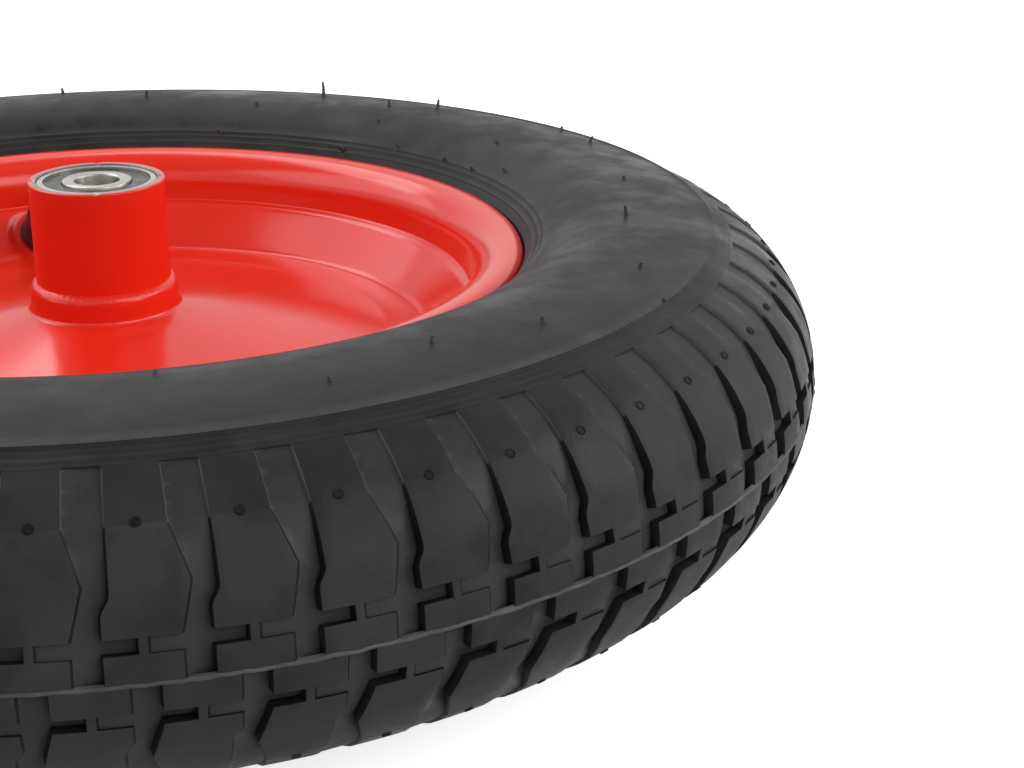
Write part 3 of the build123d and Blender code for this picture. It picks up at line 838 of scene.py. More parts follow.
def tyre_rubber_finish(colours, tyre):
    """Satin black rubber: smudges, glossy dark patches, painted highlights along the lugs' rounded edges,
    dusty groove floors lightened further as painted light, and mould lines.
    """
    dark = Vector(colours.rubber)
    finish = Finish("tyre_rubber", specular_ior_level=0.1)

    def sunk_by(start, end):
        """Mask of what lies deeper under the lugs' tops than some millimetres."""
        return finish.use("sunk zone", "Mask", centre=tyre.outer_radius - tyre.tread_arc,
                          arc=tyre.tread_arc, start=start * MM, end=end * MM)

    def both(first, second):
        return finish.number("MULTIPLY", first, second)

    def outside(mask):
        return finish.number("SUBTRACT", 1.0, mask)

    past_sidewall = {"inner": 160.0 * MM, "outer": 300.0 * MM, "softness": 0.2 * MM}
    colour = finish.drift(dark, 0.75, 1.25, scale=26.0, detail=5.0, contrast=0.16)
    patches = finish.cloud(scale=15.0, detail=4.0, contrast=0.16)
    colour = finish.tint(colour, patches, 0.6, dark * 0.5)
    smudge = finish.cloud(scale=75.0, detail=6.0, contrast=0.18)
    colour = finish.tint(colour, smudge, 0.45, dark * 1.6)
    sunk = sunk_by(0.12, 0.4)
    tread = finish.use("ring zone", "Mask", low=0.0, high=34.2 * MM, **past_sidewall)
    crown = finish.use("ring zone", "Mask", low=27.2 * MM, high=34.6 * MM, raggedness=0.3 * MM,
                       rag_scale=400.0, **past_sidewall)
    crown = both(crown, outside(sunk))
    colour = finish.tint(colour, crown, 0.7, dark * 0.85)
    # Groove floors made lighter: partly dust, partly painted light that fills the recesses where shade would
    # fall.
    dust_and_painted_light = both(both(sunk, tread), finish.cloud(scale=60.0, detail=5.0, contrast=0.2))
    colour = finish.tint(colour, dust_and_painted_light, 0.6, dark * 1.5)
    # Painted highlight: a thin band along the lugs' rounded upper edges, made much lighter so it reads as
    # edges catching the light.
    edge = both(both(sunk_by(0.13, 0.18), outside(sunk_by(0.26, 0.4))), tread)
    colour = finish.tint(colour, edge, 0.55, dark * 3.2)
    band = finish.use("ring zone", "Mask", inner=164.5 * MM, outer=169.6 * MM, low=34.3 * MM,
                      high=37.4 * MM, softness=0.3 * MM)
    colour = finish.tint(colour, band, 0.5, dark * 0.7)
    dust = finish.use("specks", "Mask", scale=160.0, size=0.09, share=0.05)
    finish.feed("Base Color", finish.tint(colour, dust, 0.2, (0.16, 0.16, 0.15)))
    rough = finish.number("MULTIPLY_ADD", patches, -0.16, finish.between(smudge, 0.44, 0.66))
    finish.feed("Roughness", finish.number("MULTIPLY_ADD", crown, -0.08, rough))
    lines = finish.use("turned rings", "Height", spacing=0.9 * MM, waver=0.8)
    finish.bump(both(band, lines), 0.06 * MM)
    foot = finish.use("ring zone", "Mask", inner=115.0 * MM, outer=124.0 * MM, low=28.0 * MM,
                      high=38.0 * MM, softness=0.5 * MM)
    spokes = finish.use("spoke lines", "Height", number=40.0, width=0.35 * MM)
    finish.bump(both(foot, spokes), 0.04 * MM)
    finish.grain(scale=1400.0, swell_scale=110.0, swell=2.2, distance=0.06 * MM)
    return finish.material


def rim_paint_finish(colours, name, worn=None, lumpy=0.02, dull=0.0):
    """Glossy red paint with a slight flow and small chips, and bare steel in a worn zone."""
    finish = Finish(name, coat_weight=0.12, coat_roughness=0.08, specular_ior_level=0.42)
    colour = finish.drift(Vector(colours.paint), 0.94, 1.04, scale=14.0, detail=3.0, contrast=0.3)
    chips = finish.use("specks", "Mask", scale=75.0, size=0.055, share=0.06)
    colour = finish.blend(chips, colour, (0.16, 0.12, 0.11))
    rough = finish.between(finish.cloud(scale=40.0, detail=5.0, contrast=0.2), 0.15 + dull, 0.23 + dull)
    rough = finish.number("MULTIPLY_ADD", chips, 0.3, rough)
    if worn:
        bare = finish.use("ring zone", "Mask", **worn)
        colour = finish.blend(bare, colour, (0.26, 0.235, 0.22))
        rough = finish.number("MULTIPLY_ADD", bare, 0.2, rough)
        finish.feed("Metallic", finish.number("MULTIPLY", bare, 0.85))
    finish.feed("Base Color", colour)
    finish.feed("Roughness", rough)
    finish.grain(scale=420.0, swell_scale=45.0, swell=3.0, distance=lumpy * MM)
    return finish.material


def ground_steel_finish(colours):
    """Ground bearing steel with fine turned rings and a trace of oil."""
    finish = Finish("bearing_steel")
    colour = finish.drift(Vector(colours.steel), 0.85, 1.0, scale=180.0, detail=4.0, contrast=0.25)
    finish.feed("Base Color", colour)
    oil = finish.cloud(scale=260.0, detail=3.0, contrast=0.15)
    finish.feed("Roughness", finish.between(oil, 0.22, 0.34))
    finish.feed("Metallic", finish.between(oil, 1.0, 0.94))
    finish.bump(finish.use("turned rings", "Height", spacing=0.16 * MM, waver=0.2), 0.012 * MM)
    return finish.material


def pressed_steel_finish(colours):
    """Dull pressed sheet, darkened by patches of grease."""
    finish = Finish("pressed_steel")
    colour = finish.drift(Vector(colours.shield), 0.45, 1.0, scale=420.0, detail=5.0, contrast=0.18)
    grease = finish.cloud(scale=150.0, detail=5.0, contrast=0.1)
    finish.feed("Base Color", finish.tint(colour, grease, 0.6, (0.05, 0.045, 0.04)))
    finish.feed("Roughness", finish.between(grease, 0.3, 0.45))
    finish.feed("Metallic", finish.between(grease, 0.95, 0.5))
    finish.grain(scale=2600.0, swell_scale=500.0, swell=1.0, distance=0.02 * MM)
    return finish.material


def ball_steel_finish(colours):
    """Polished balls with a film of grease."""
    finish = Finish("ball_steel")
    colour = finish.drift(Vector(colours.steel), 0.8, 1.0, scale=500.0, detail=3.0, contrast=0.3)
    finish.feed("Base Color", colour)
    film = finish.cloud(scale=320.0, detail=4.0, contrast=0.2)
    finish.feed("Roughness", finish.between(film, 0.05, 0.16))
    finish.feed("Metallic", finish.between(film, 1.0, 0.95))
    return finish.material


def soft_rubber_finish(name, colour, matrix=None, gloss=0.35):
    """Plain moulded rubber: a bloom over it and a fine grain."""
    finish = Finish(name, specular_ior_level=gloss)
    if matrix:
        finish.turned_to(matrix)
    bloom = finish.drift(Vector(colour), 0.75, 1.5, scale=120.0, detail=5.0, contrast=0.2)
    finish.feed("Base Color", bloom)
    finish.feed("Roughness", finish.between(finish.cloud(scale=200.0, detail=4.0, contrast=0.2), 0.42, 0.62))
    finish.grain(scale=1800.0, swell_scale=260.0, swell=0.8, distance=0.04 * MM)
    return finish.material


def brass_finish(colours, matrix):
    """Nickel-washed brass with turning marks and patches of tarnish."""
    finish = Finish("brass")
    finish.turned_to(matrix)
    tarnish = finish.cloud(scale=300.0, detail=5.0, contrast=0.15)
    colour = finish.drift(Vector(colours.brass), 0.85, 1.0, scale=220.0, detail=3.0, contrast=0.3)
    finish.feed("Base Color", finish.tint(colour, tarnish, 0.4, (0.25, 0.16, 0.06)))
    finish.feed("Roughness", finish.between(tarnish, 0.2, 0.4))
    finish.feed("Metallic", finish.between(tarnish, 1.0, 0.9))
    finish.bump(finish.use("turned rings", "Height", spacing=0.14 * MM, waver=0.3), 0.01 * MM)
    return finish.material


def spring_steel_finish(colours):
    """Drawn wire with darker patches."""
    finish = Finish("spring_steel")
    colour = finish.drift(Vector(colours.steel), 0.6, 0.9, scale=600.0, detail=3.0, contrast=0.3)
    finish.feed("Base Color", colour)
    drawn = finish.cloud(scale=900.0, detail=2.0, contrast=0.3)
    finish.feed("Roughness", finish.between(drawn, 0.2, 0.35))
    finish.feed("Metallic", finish.between(drawn, 1.0, 0.96))
    return finish.material


def cap_plastic_finish(colours, matrix):
    """Black moulded plastic with rubbed, lighter ridges."""
    base = Vector(colours.cap)
    finish = Finish("cap_plastic")
    finish.turned_to(matrix)
    colour = finish.drift(base, 0.8, 1.3, scale=260.0, detail=4.0, contrast=0.2)
    rubbed = finish.use("ring zone", "Mask", inner=4.75 * MM, outer=6.0 * MM, low=0.0, high=60 * MM,
                        softness=0.2 * MM, raggedness=0.4 * MM, rag_scale=900.0)
    finish.feed("Base Color", finish.tint(colour, rubbed, 0.35, base * 4))
    finish.feed("Roughness", finish.between(rubbed, 0.34, 0.5))
    finish.grain(scale=3000.0, swell_scale=400.0, swell=0.6, distance=0.02 * MM)
    return finish.material


# Modelling helpers

def round_points(across, height, radius, degrees):
    """Points round a centre, at angles that go from straight up towards the outside."""
    return [
        (across + radius * math.sin(a), height + radius * math.cos(a))
        for a in (math.radians(d) for d in degrees)
    ]


def mirrored(points):
    """The same section points below the middle plane, in the other order."""
    return [(r, -z) for r, z in reversed(points)]


def in_metres(outline):
    return [(r * MM, z * MM) for r, z in outline]


def object_from(bm, name):
    """Turn a mesh in the making into an object in the scene."""
    mesh = bpy.data.meshes.new(name)
    bm.to_mesh(mesh)
    bm.free()
    made = bpy.data.objects.new(name, mesh)
    bpy.context.scene.collection.objects.link(made)
    return made


def turn_section(points, steps, closed=True):
    """Spin a section of (radius, height) points once round the axle line."""
    bm = bmesh.new()
    line = [bm.verts.new((p[0], 0, p[1])) for p in points]
    pairs = zip(line, line[1:] + line[:1]) if closed else zip(line, line[1:])
    edges = [bm.edges.new(pair) for pair in pairs]
    bmesh.ops.spin(
        bm, geom=line + edges, cent=(0, 0, 0), axis=(0, 0, 1), dvec=(0, 0, 0),
        angle=2 * math.pi, steps=steps, use_merge=True)
    bmesh.ops.remove_doubles(bm, verts=bm.verts, dist=1e-6)
    bmesh.ops.dissolve_degenerate(bm, edges=bm.edges, dist=1e-7)
    bmesh.ops.recalc_face_normals(bm, faces=bm.faces)
    return bm


def round_sharp(bm, angle, width, segments=2):
    """Round every edge that bends by more than an angle."""
    sharp = [e for e in bm.edges if len(e.link_faces) == 2 and e.calc_face_angle() > math.radians(angle)]
    bmesh.ops.bevel(
        bm, geom=sharp, offset=width, segments=segments, affect="EDGES", profile=0.5,
        material=-1, clamp_overlap=True)


def finish_piece(bm, name, body, material, replaced=(), smooth=35):
    """Make the object: smooth faces, sharp corners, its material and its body."""
    piece = object_from(bm, name)
    piece.data.shade_smooth()
    piece.data.set_sharp_from_angle(angle=math.radians(smooth))
    piece.data.materials.append(material)
    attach(piece, body)
    if replaced:
        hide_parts(*replaced)
    return piece


def turned_over(bm):
    """Turn a mesh over about the X axis, for the wheel's lower side."""
    bmesh.ops.rotate(bm, cent=(0, 0, 0), matrix=Matrix.Rotation(math.pi, 3, "X"), verts=bm.verts)
    return bm


def dress_nodes(names, material):
    """Give construction nodes that stay in view of the open bearings or valve a real finish."""
    for name in names:
        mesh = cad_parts[name].data
        mesh.materials.clear()
        mesh.materials.append(material)


def bent_line(corners, steps=7):
    """Section points with their left-hand side, through (radius, height, bend radius) corners."""
    line = []
    start = Vector(corners[0][:2])
    for here, after in zip(corners[1:-1], corners[2:]):
        corner = Vector(here[:2])
        back = (start - corner).normalized()
        ahead = (Vector(after[:2]) - corner).normalized()
        half = back.angle(ahead) / 2
        first = corner + back * (here[2] / math.tan(half))
        centre = corner + (back + ahead).normalized() * (here[2] / math.sin(half))
        left = 1 if ahead.cross(back) > 0 else -1
        side = Vector((back.y, -back.x))
        pieces = max(1, math.ceil((first - start).length / (3.0 * MM)))
        line += [(start.lerp(first, k / pieces), side) for k in range(pieces)]
        for k in range(steps + 1):
            turn = Matrix.Rotation(left * (math.pi - 2 * half) * k / steps, 2)
            spoke = turn @ (first - centre)
            line.append((centre + spoke, spoke.normalized() * -left))
        start = line[-1][0]
    end = Vector(corners[-1][:2])
    along = (end - start).normalized()
    line.append((end, Vector((-along.y, along.x))))
    return line


def sheet_section(line, thickness):
    """Closed section of a sheet that follows a bent line, on the line's left."""
    outer = [point for point, _ in line]
    inner = [point + side * thickness for point, side in line]
    points = []
    for point in outer + list(reversed(inner)):
        if not points or (point - points[-1]).length > 0.02 * MM:
            points.append(point)
    return points


# Rim

def rim_corners(rim):
    """Bends of the pressed sheet from the collar to the rolled flange, as in the construction."""
    hub = node_radius("hub_tube")
    flange = node_radius("rim_half_lower")
    lip = flange - rim.sheet
    seat = rim.bead_seat
    ledge = seat - rim.ledge_width
    inside = node_top("rim_half_upper") - rim.sheet
    curl = flange - seat - rim.sheet - 2.2 * MM
    return [
        (hub, rim.disc_rise + rim.collar, 0),
        (hub, rim.disc_rise, rim.sheet + 1.4 * MM),
        (rim.well_floor - 12.0 * MM, 0, 14.0 * MM),
        (rim.well_floor, 0, 5.0 * MM),
        (ledge, rim.ledge_height - 1.2 * MM, 2.6 * MM),
        (seat - 0.6 * MM, rim.ledge_height, rim.sheet + 0.6 * MM),
        (seat, inside, curl),
        (lip, inside, 1.6 * MM),
        (lip, inside - 2.0 * MM, 0),
    ]


def valve_place(rim):
    """Matrix of the valve's seat on the well wall, with Z along the stem."""
    ledge = rim.bead_seat - rim.ledge_width
    wall = Vector((ledge - rim.well_floor, 0, rim.ledge_height - 1.2 * MM))
    out = Vector((-wall.z, 0, wall.x)).normalized()
    along = wall.normalized()
    seat = Vector((rim.well_floor, 0, 0)) + wall * rim.valve_share + out * (rim.sheet - rim.valve_press)
    place = Matrix((along, out.cross(along), out)).transposed().to_4x4()
    place.translation = seat
    return Matrix.Rotation(rim.valve_angle, 4, "Z") @ place


def press_valve_seat(bm, rim):
    """Press the flat spot for the valve into the well wall, from finer faces."""
    place = valve_place(rim)
    back = place.inverted()
    reach = 13 * MM
    flat_radius = 10.4 * MM
    flat_slope = 2.4 * MM
    near = [
        e for e in bm.edges
        if all((back @ v.co).xy.length < reach and abs((back @ v.co).z) < 6 * MM for v in e.verts)
    ]
    bmesh.ops.subdivide_edges(bm, edges=near, cuts=3, use_grid_fill=True)
    bmesh.ops.triangulate(bm, faces=[f for f in bm.faces if len(f.verts) > 4])
    for vert in bm.verts:
        local = back @ vert.co
        away = local.xy.length
        if away < flat_radius and abs(local.z) < 4 * MM:
            floor = 0.0 if local.z > -rim.sheet / 2 else -rim.sheet
            local.z += (floor - local.z) * eased(limited((flat_radius - away) / flat_slope))
            vert.co = place @ local
    bmesh.ops.recalc_face_normals(bm, faces=bm.faces)


def punch_hole(piece, place, radius, depth):
    """Cut a round hole along a place's Z axis."""
    bm = bmesh.new()
    bmesh.ops.create_cone(
        bm, cap_ends=True, segments=48, radius1=radius, radius2=radius, depth=depth, matrix=place)
    punch = object_from(bm, "punch")
    mesh = punch.data
    cut = piece.modifiers.new("Punched hole", "BOOLEAN")
    cut.operation = "DIFFERENCE"
    cut.solver = "EXACT"
    cut.object = punch
    whole = piece.evaluated_get(bpy.context.evaluated_depsgraph_get())
    piece.data = bpy.data.meshes.new_from_object(whole)
    piece.modifiers.clear()
    bpy.data.objects.remove(punch)
    bpy.data.meshes.remove(mesh)
    piece.data.shade_smooth()
    piece.data.set_sharp_from_angle(angle=math.radians(35))


def rim_half(rim):
    """One pressed half of the rim, with rounded cut edges."""
    bm = turn_section(sheet_section(bent_line(rim_corners(rim)), rim.sheet), rim.steps)
    round_sharp(bm, 60, 0.35 * MM)
    return bm


# Hub

def hub_tube(hub):
    """Tube with rounded, worn ends and the punch marks that lock each bearing."""
    half = node_top("hub_tube")
    outer = node_radius("hub_tube")
    seat = hub.bearing_seat
    floor = half - hub.seat_depth
    edge = 0.45 * MM
    bevel = 0.12 * MM
    face = [(seat + (outer - edge - seat) * k / 5, half) for k in (1, 2, 3, 4, 5)]
    rounding = round_points(outer - edge, half - edge, edge, range(15, 105, 15))
    upper = [(hub.bore, floor), (seat, floor), (seat, half - bevel), (seat + bevel, half)] + face + rounding
    shank = [(outer, half * k / 12) for k in range(11, -12, -1)]
    bm = turn_section(upper + shank + mirrored(upper), 240)
    marks = [math.radians(a) for a in (178.0, 268.0, 358.0, 88.0)]
    middle = (outer + seat) / 2 - 0.1 * MM
    mark_radius = 1.3 * MM
    mark_depth = 0.5 * MM
    for vert in bm.verts:
        x, y, z = vert.co
        if abs(z) > half - 1.2 * MM and Vector((x, y)).length > seat - 0.01 * MM:
            for mark in marks:
                away = (Vector((x, y)) - Vector((math.cos(mark), math.sin(mark))) * middle).length
                if away < mark_radius:
                    vert.co.z -= math.copysign(mark_depth * (1 - away / mark_radius), z)
    return bm


def hub_weld(rim):
    """Fillet weld on the collar: a bead with ripples and small lumps under the paint."""
    outer = node_radius("hub_tube")
    low = rim.disc_rise + rim.collar
    high = node_top("hub_weld_upper")
    leg = high - low
    wide = rim.sheet
    root = outer - 0.3 * MM
    sunk = low - 0.2 * MM
    skin = 0.05 * MM
    face = []
    for k in range(9):
        share = k / 8
        bulge = math.sin(math.pi * share) * 0.42 * MM
        face.append((outer + wide * (1 - share) + bulge * 0.7, low + leg * share + bulge * 0.7))
    bm = turn_section([(root, sunk), (outer + wide, sunk)] + face + [(root, high)], 288)
    for vert in bm.verts:
        away = Vector((vert.co.x, vert.co.y))
        if away.length > outer + skin and vert.co.z > low + skin:
            angle = math.atan2(vert.co.y, vert.co.x)
            ripple = abs(math.sin(angle * 34 + 1.5 * noise.noise(vert.co * 120)))
            lump = noise.noise(vert.co * 260) * 0.15 + noise.noise(vert.co * 90) * 0.18
            lift = (0.08 * ripple - 0.04 + lump) * MM * min(1.0, (away.length - outer) / (0.8 * MM))
            vert.co += Vector((*away.normalized(), 0.8)) * min(lift, 0.18 * MM)
    bmesh.ops.recalc_face_normals(bm, faces=bm.faces)
    return bm


# Bearings

def bearing_outer_ring(bearing):
    """Outer ring with a ball groove and the step that holds each shield."""
    half = bearing.width / 2
    outer = bearing.outer_radius
    shoulder = bearing.outer_shoulder
    seat = bearing.shield_seat
    corner = bearing.chamfer
    floor = half - bearing.shield_inset - 0.35 * MM
    upper = round_points(outer - corner, half - corner, corner, range(90, -18, -18))
    upper += [(seat, half), (seat, floor), (shoulder, floor)]
    return turn_section(mirrored(upper) + upper + groove_points(bearing, shoulder, 1), 160)


def groove_points(bearing, shoulder, side):
    """Arc of the ball groove between a ring's two shoulders."""
    radius = bearing.ball_radius + 0.03 * MM
    reach = abs(bearing.pitch_radius - shoulder)
    turn = math.acos(reach / radius)
    points = []
    for k in range(9):
        angle = turn - 2 * turn * k / 8
        points.append((bearing.pitch_radius + side * radius * math.cos(angle), radius * math.sin(angle)))
    return points


def bearing_inner_ring(bearing):
    """Inner ring with rounded bore edges and its ball groove."""
    half = bearing.width / 2
    shoulder = bearing.inner_shoulder
    corner = bearing.chamfer
    edge = 0.25 * MM
    upper = round_points(bearing.bore + corner, half - corner, corner, range(-90, 18, 18))
    upper += round_points(shoulder - edge, half - edge, edge, range(0, 120, 30))
    return turn_section(upper + groove_points(bearing, shoulder, -1) + mirrored(upper), 160)


def bearing_shield(bearing):
    """Pressed shield: a rolled outer edge, a step and a slightly dished face."""
    outer = bearing.shield_seat - 0.01 * MM
    inner = bearing.inner_shoulder + 0.25 * MM
    top = bearing.width / 2 - bearing.shield_inset
    sheet = 0.35 * MM
    step = outer - 1.5 * MM
    dish = (inner + step) / 2
    line = [(inner, top - 0.02 * MM), (inner + 0.5 * MM, top), (dish, top - 0.1 * MM), (step, top)]
    roll = round_points(outer - sheet, top, sheet, range(-90, 120, 30))
    under = [(outer, top - sheet), (step, top - sheet), (dish, top - sheet - 0.1 * MM), (inner, top - sheet)]
    return turn_section(line + roll + under, 160)


# Valve

def placed(bm, matrix):
    """Move a piece that was modelled upright to its place on the rim."""
    bmesh.ops.transform(bm, matrix=matrix, verts=bm.verts)
    bmesh.ops.recalc_face_normals(bm, faces=bm.faces)
    return bm


def valve_stem(rim):
    """Rubber stem: foot, neck through the rim, shoulder and a waisted, tapered body."""
    neck = rim.valve_hole / MM / 2 - 0.15
    under = -rim.sheet / MM
    foot = under - 3.6
    outline = [
        (1.5, foot), (7.2, foot), (7.5, foot + 0.3), (7.5, under), (neck, under), (neck, 0), (5.8, 0),
        (6.1, 0.2), (6.3, 0.7), (6.3, 1.9), (6.22, 2.4), (5.95, 3.2), (5.75, 4.4), (5.68, 6.0),
        (5.58, 10.0), (5.48, 14.0), (5.4, 18.0), (5.35, 20.0), (5.2, 20.9), (4.9, 21.6), (4.5, 21.95),
        (3.85, 22.0), (3.85, -1.0), (1.5, -1.0),
    ]
    bm = turn_section(in_metres(outline), 96)
    for vert in bm.verts:
        angle = abs(math.atan2(vert.co.y, vert.co.x))
        seam = min(angle, math.pi - angle) < 0.04
        if seam and vert.co.z > 3 * MM and Vector((vert.co.x, vert.co.y)).length > 4.2 * MM:
            vert.co.x *= 1.02
    return bm


def valve_insert():
    """Metal tube in the stem with a screw thread on its free end."""
    radius = 3.85
    pitch = 0.8
    thread_depth = 0.36 * MM
    rows = [(radius, -1.0), (radius, 10.0), (radius, 21.8)]
    rows += [(radius, 22.0 + 0.1 * k) for k in range(95)]
    outline = [(2.7, -1.0)] + rows + [(radius - 0.1, 31.6), (radius - 0.45, 32.0), (3.0, 32.0), (2.7, 31.7)]
    bm = turn_section(in_metres(outline), 48)
    for vert in bm.verts:
        away = Vector((vert.co.x, vert.co.y)).length
        if away > 3.7 * MM and 22.3 * MM < vert.co.z < 31.3 * MM:
            turns = vert.co.z / (pitch * MM) - math.atan2(vert.co.y, vert.co.x) / (2 * math.pi)
            deep = abs((turns % 1.0) - 0.5) * 2
            shrink = 1 - thread_depth * deep / away
            vert.co.x *= shrink
            vert.co.y *= shrink
    return bm


def valve_cap():
    """Screw cap: closed end with a rounded rim and twelve grip flutes."""
    rows = [(4.9, z) for z in (22.6, 23.2, 23.6, 24.0)] + [(4.9, 24.5 + 0.5 * k) for k in range(14)]
    rows += [(4.9, 31.5), (4.9, 32.2), (4.82, 32.8), (4.6, 33.3), (4.2, 33.65), (3.6, 33.8), (2.0, 33.8)]
    outline = [(0.0, 32.2), (3.9, 32.2), (3.9, 22.3), (4.7, 22.3)] + rows + [(0.0, 33.8)]
    bm = turn_section(in_metres(outline), 144, closed=False)
    flutes = 12
    low, high, run_out = 23.0 * MM, 32.0 * MM, 1.2 * MM
    for vert in bm.verts:
        away = Vector((vert.co.x, vert.co.y)).length
        if away > 4.8 * MM and low < vert.co.z < high:
            angle = math.atan2(vert.co.y, vert.co.x)
            fade = min(1.0, (vert.co.z - low) / run_out, (high - vert.co.z) / run_out)
            cut = max(0.0, math.cos(flutes * angle)) ** 2 * 0.34 * MM * fade
            vert.co.x *= 1 - cut / away
            vert.co.y *= 1 - cut / away
    return bm


# Marks that the mould leaves on the tyre

def side_point(tyre, radius):
    """Point and outward direction of the upper sidewall at a radius."""
    outline = side_outline(tyre)[:SIDEWALL_POINTS]
    best = min(range(1, len(outline) - 1), key=lambda i: abs(outline[i].x - radius))
    along = (outline[best + 1] - outline[best - 1]).normalized()
    out = Vector((along.y, -along.x))
    for first, second in zip(outline, outline[1:]):
        if min(first.x, second.x) <= radius <= max(first.x, second.x) and first.x != second.x:
            return first.lerp(second, (radius - first.x) / (second.x - first.x)), out
    return outline[best], out


def add_hair(bm, place, length, lean, turn):
    """One vent hair: a thin tapered rubber whisker on a wider foot."""
    sunk = 0.25 * MM
    hair = bmesh.new()
    bmesh.ops.create_cone(
        hair, cap_ends=True, segments=7, radius1=0.85 * MM, radius2=0.36 * MM, depth=length,
        matrix=Matrix.Translation((0, 0, length / 2 - sunk)))
    long_edges = [e for e in hair.edges if e.calc_length() > length * 0.9]
    bmesh.ops.subdivide_edges(hair, edges=long_edges, cuts=3)
    for vert in hair.verts:
        share = max(0.0, (vert.co.z + sunk) / length)
        slim = 1.0 if share < 0.05 else 0.7 + 0.3 * share
        vert.co = Vector((vert.co.x * slim + lean * length * share * share, vert.co.y * slim, vert.co.z))
    bmesh.ops.transform(hair, matrix=place @ Matrix.Rotation(turn, 4, "Z"), verts=hair.verts)
    mesh = bpy.data.meshes.new("hair")
    hair.to_mesh(mesh)
    hair.free()
    bm.from_mesh(mesh)
    bpy.data.meshes.remove(mesh)


def standing_on(point, out, angle):
    """Matrix of a place on the tyre's section, with Z pointing out of the rubber."""
    turn = Matrix.Rotation(angle, 4, "Z")
    direction = Vector((out.x, 0, out.y))
    place = direction.to_track_quat("Z", "X").to_matrix().to_4x4()
    place.translation = Vector((point.x, 0, point.y))
    return turn @ place


# Hairs that the photograph shows: angle from +X in degrees, radius and length in millimetres
SEEN_HAIRS = (
    (59.0, 150.3, 5.0), (48.5, 117.6, 4.2), (47.8, 143.3, 2.4), (42.0, 150.0, 3.4), (82.3, 138.7, 2.6),
    (24.7, 159.7, 1.8), (17.8, 157.0, 2.2), (-16.4, 141.6, 2.6), (-52.0, 152.3, 1.8), (-62.5, 145.5, 1.6),
    (-73.6, 152.6, 1.4), (-33.5, 152.0, 1.4), (14.9, 123.1, 1.4), (28.4, 120.1, 1.6), (38.9, 120.9, 1.5),
    (45.6, 129.6, 1.2), (-1.4, 145.7, 1.3), (21.5, 119.8, 1.6), (23.2, 131.6, 1.2), (-86.4, 137.2, 1.2),
    (-39.4, 163.9, 1.0), (70.0, 119.5, 1.5), (66.0, 133.0, 1.4),
)


def vent_hairs(tyre):
    """Whiskers where the mould was vented: those of the photograph and more of the same."""
    chance = random.Random(41)
    bm = bmesh.new()
    for degrees, radius, length in SEEN_HAIRS:
        point, out = side_point(tyre, radius * MM)
        add_hair(bm, standing_on(point, out, math.radians(degrees)), length * MM,
                 chance.uniform(-0.35, 0.35), chance.uniform(0, 6.28))
    for side in (1, -1):
        for degrees in range(95, 265, 9) if side == 1 else range(0, 360, 9):
            radius = chance.choice((119.8, 131.0, 145.0, 152.0, 158.0))
            length = chance.choice((1.2, 1.4, 1.6, 2.2, 3.0)) * MM
            point, out = side_point(tyre, radius * MM)
            place = standing_on(point, out, math.radians(degrees + chance.uniform(-3, 3)))
            if side == -1:
                place = Matrix.Rotation(math.pi, 4, "X") @ place
            add_hair(bm, place, length, chance.uniform(-0.35, 0.35), chance.uniform(0, 6.28))
    bmesh.ops.recalc_face_normals(bm, faces=bm.faces)
    return bm


def lug_nubs(tyre):
    """A small round vent mark on every lug, with a hollow in its middle."""
    bm = bmesh.new()
    turn = math.asin(27.4 * MM / tyre.tread_arc)
    out = Vector((math.cos(turn), math.sin(turn)))
    step = 2 * math.pi / tyre.lugs
    edge = (pitch_length(tyre) - PATTERN["block"] * MM) / 2 / tyre.outer_radius
    start = standing_on(tread_point(tyre, turn), out, edge + math.radians(2.3))
    turned = Matrix.Rotation(step / 2, 4, "Z") @ Matrix.Rotation(math.pi, 4, "X")
    sunk = 0.3 * MM
    sides = 12
    chance = random.Random(7)
    for i in range(tyre.lugs):
        cell = Matrix.Rotation(tyre.start_angle + step * i, 4, "Z")
        for place in (cell @ start, cell @ turned @ start):
            tall = chance.uniform(0.22, 0.34) * MM
            made = bmesh.ops.create_cone(
                bm, cap_ends=True, segments=sides, radius1=1.25 * MM, radius2=1.0 * MM, depth=tall + sunk,
                matrix=place @ Matrix.Translation((0, 0, (tall - sunk) / 2)))["verts"]
            caps = {f for v in made for f in v.link_faces if len(f.verts) == sides}
            top = max(caps, key=lambda f: (place.inverted() @ f.calc_center_median()).z)
            bmesh.ops.inset_individual(bm, faces=[top], thickness=0.18 * MM, depth=-0.2 * MM)
    bmesh.ops.recalc_face_normals(bm, faces=bm.faces)
    return bm


def parting_flash(tyre, crown):
    """Ragged line of flash round the crown, where the mould's halves met."""
    wide = 0.7 * MM
    deep = 1.0 * MM
    base = tyre.outer_radius
    bm = turn_section(
        [(crown - deep, -wide), (base, -wide * 0.6), (crown, 0.0), (base, wide * 0.6), (crown - deep, wide)],
        720)
    for vert in bm.verts:
        away = Vector((vert.co.x, vert.co.y)).length
        if away > base - 0.2 * MM:
            angle = math.atan2(vert.co.y, vert.co.x)
            ring = Vector((math.cos(angle), math.sin(angle), 0))
            rag = noise.noise(ring * 34) * 0.7 + noise.noise(ring * 120) * 0.5
            lift = (base - crown) * limited(0.5 - rag) if away > base + 0.05 * MM else 0.0
            vert.co.x += ring.x * lift
            vert.co.y += ring.y * lift
            vert.co.z += (noise.noise(ring * 60) * 0.28 + noise.noise(ring * 240) * 0.16) * MM
    return bm


# Stage

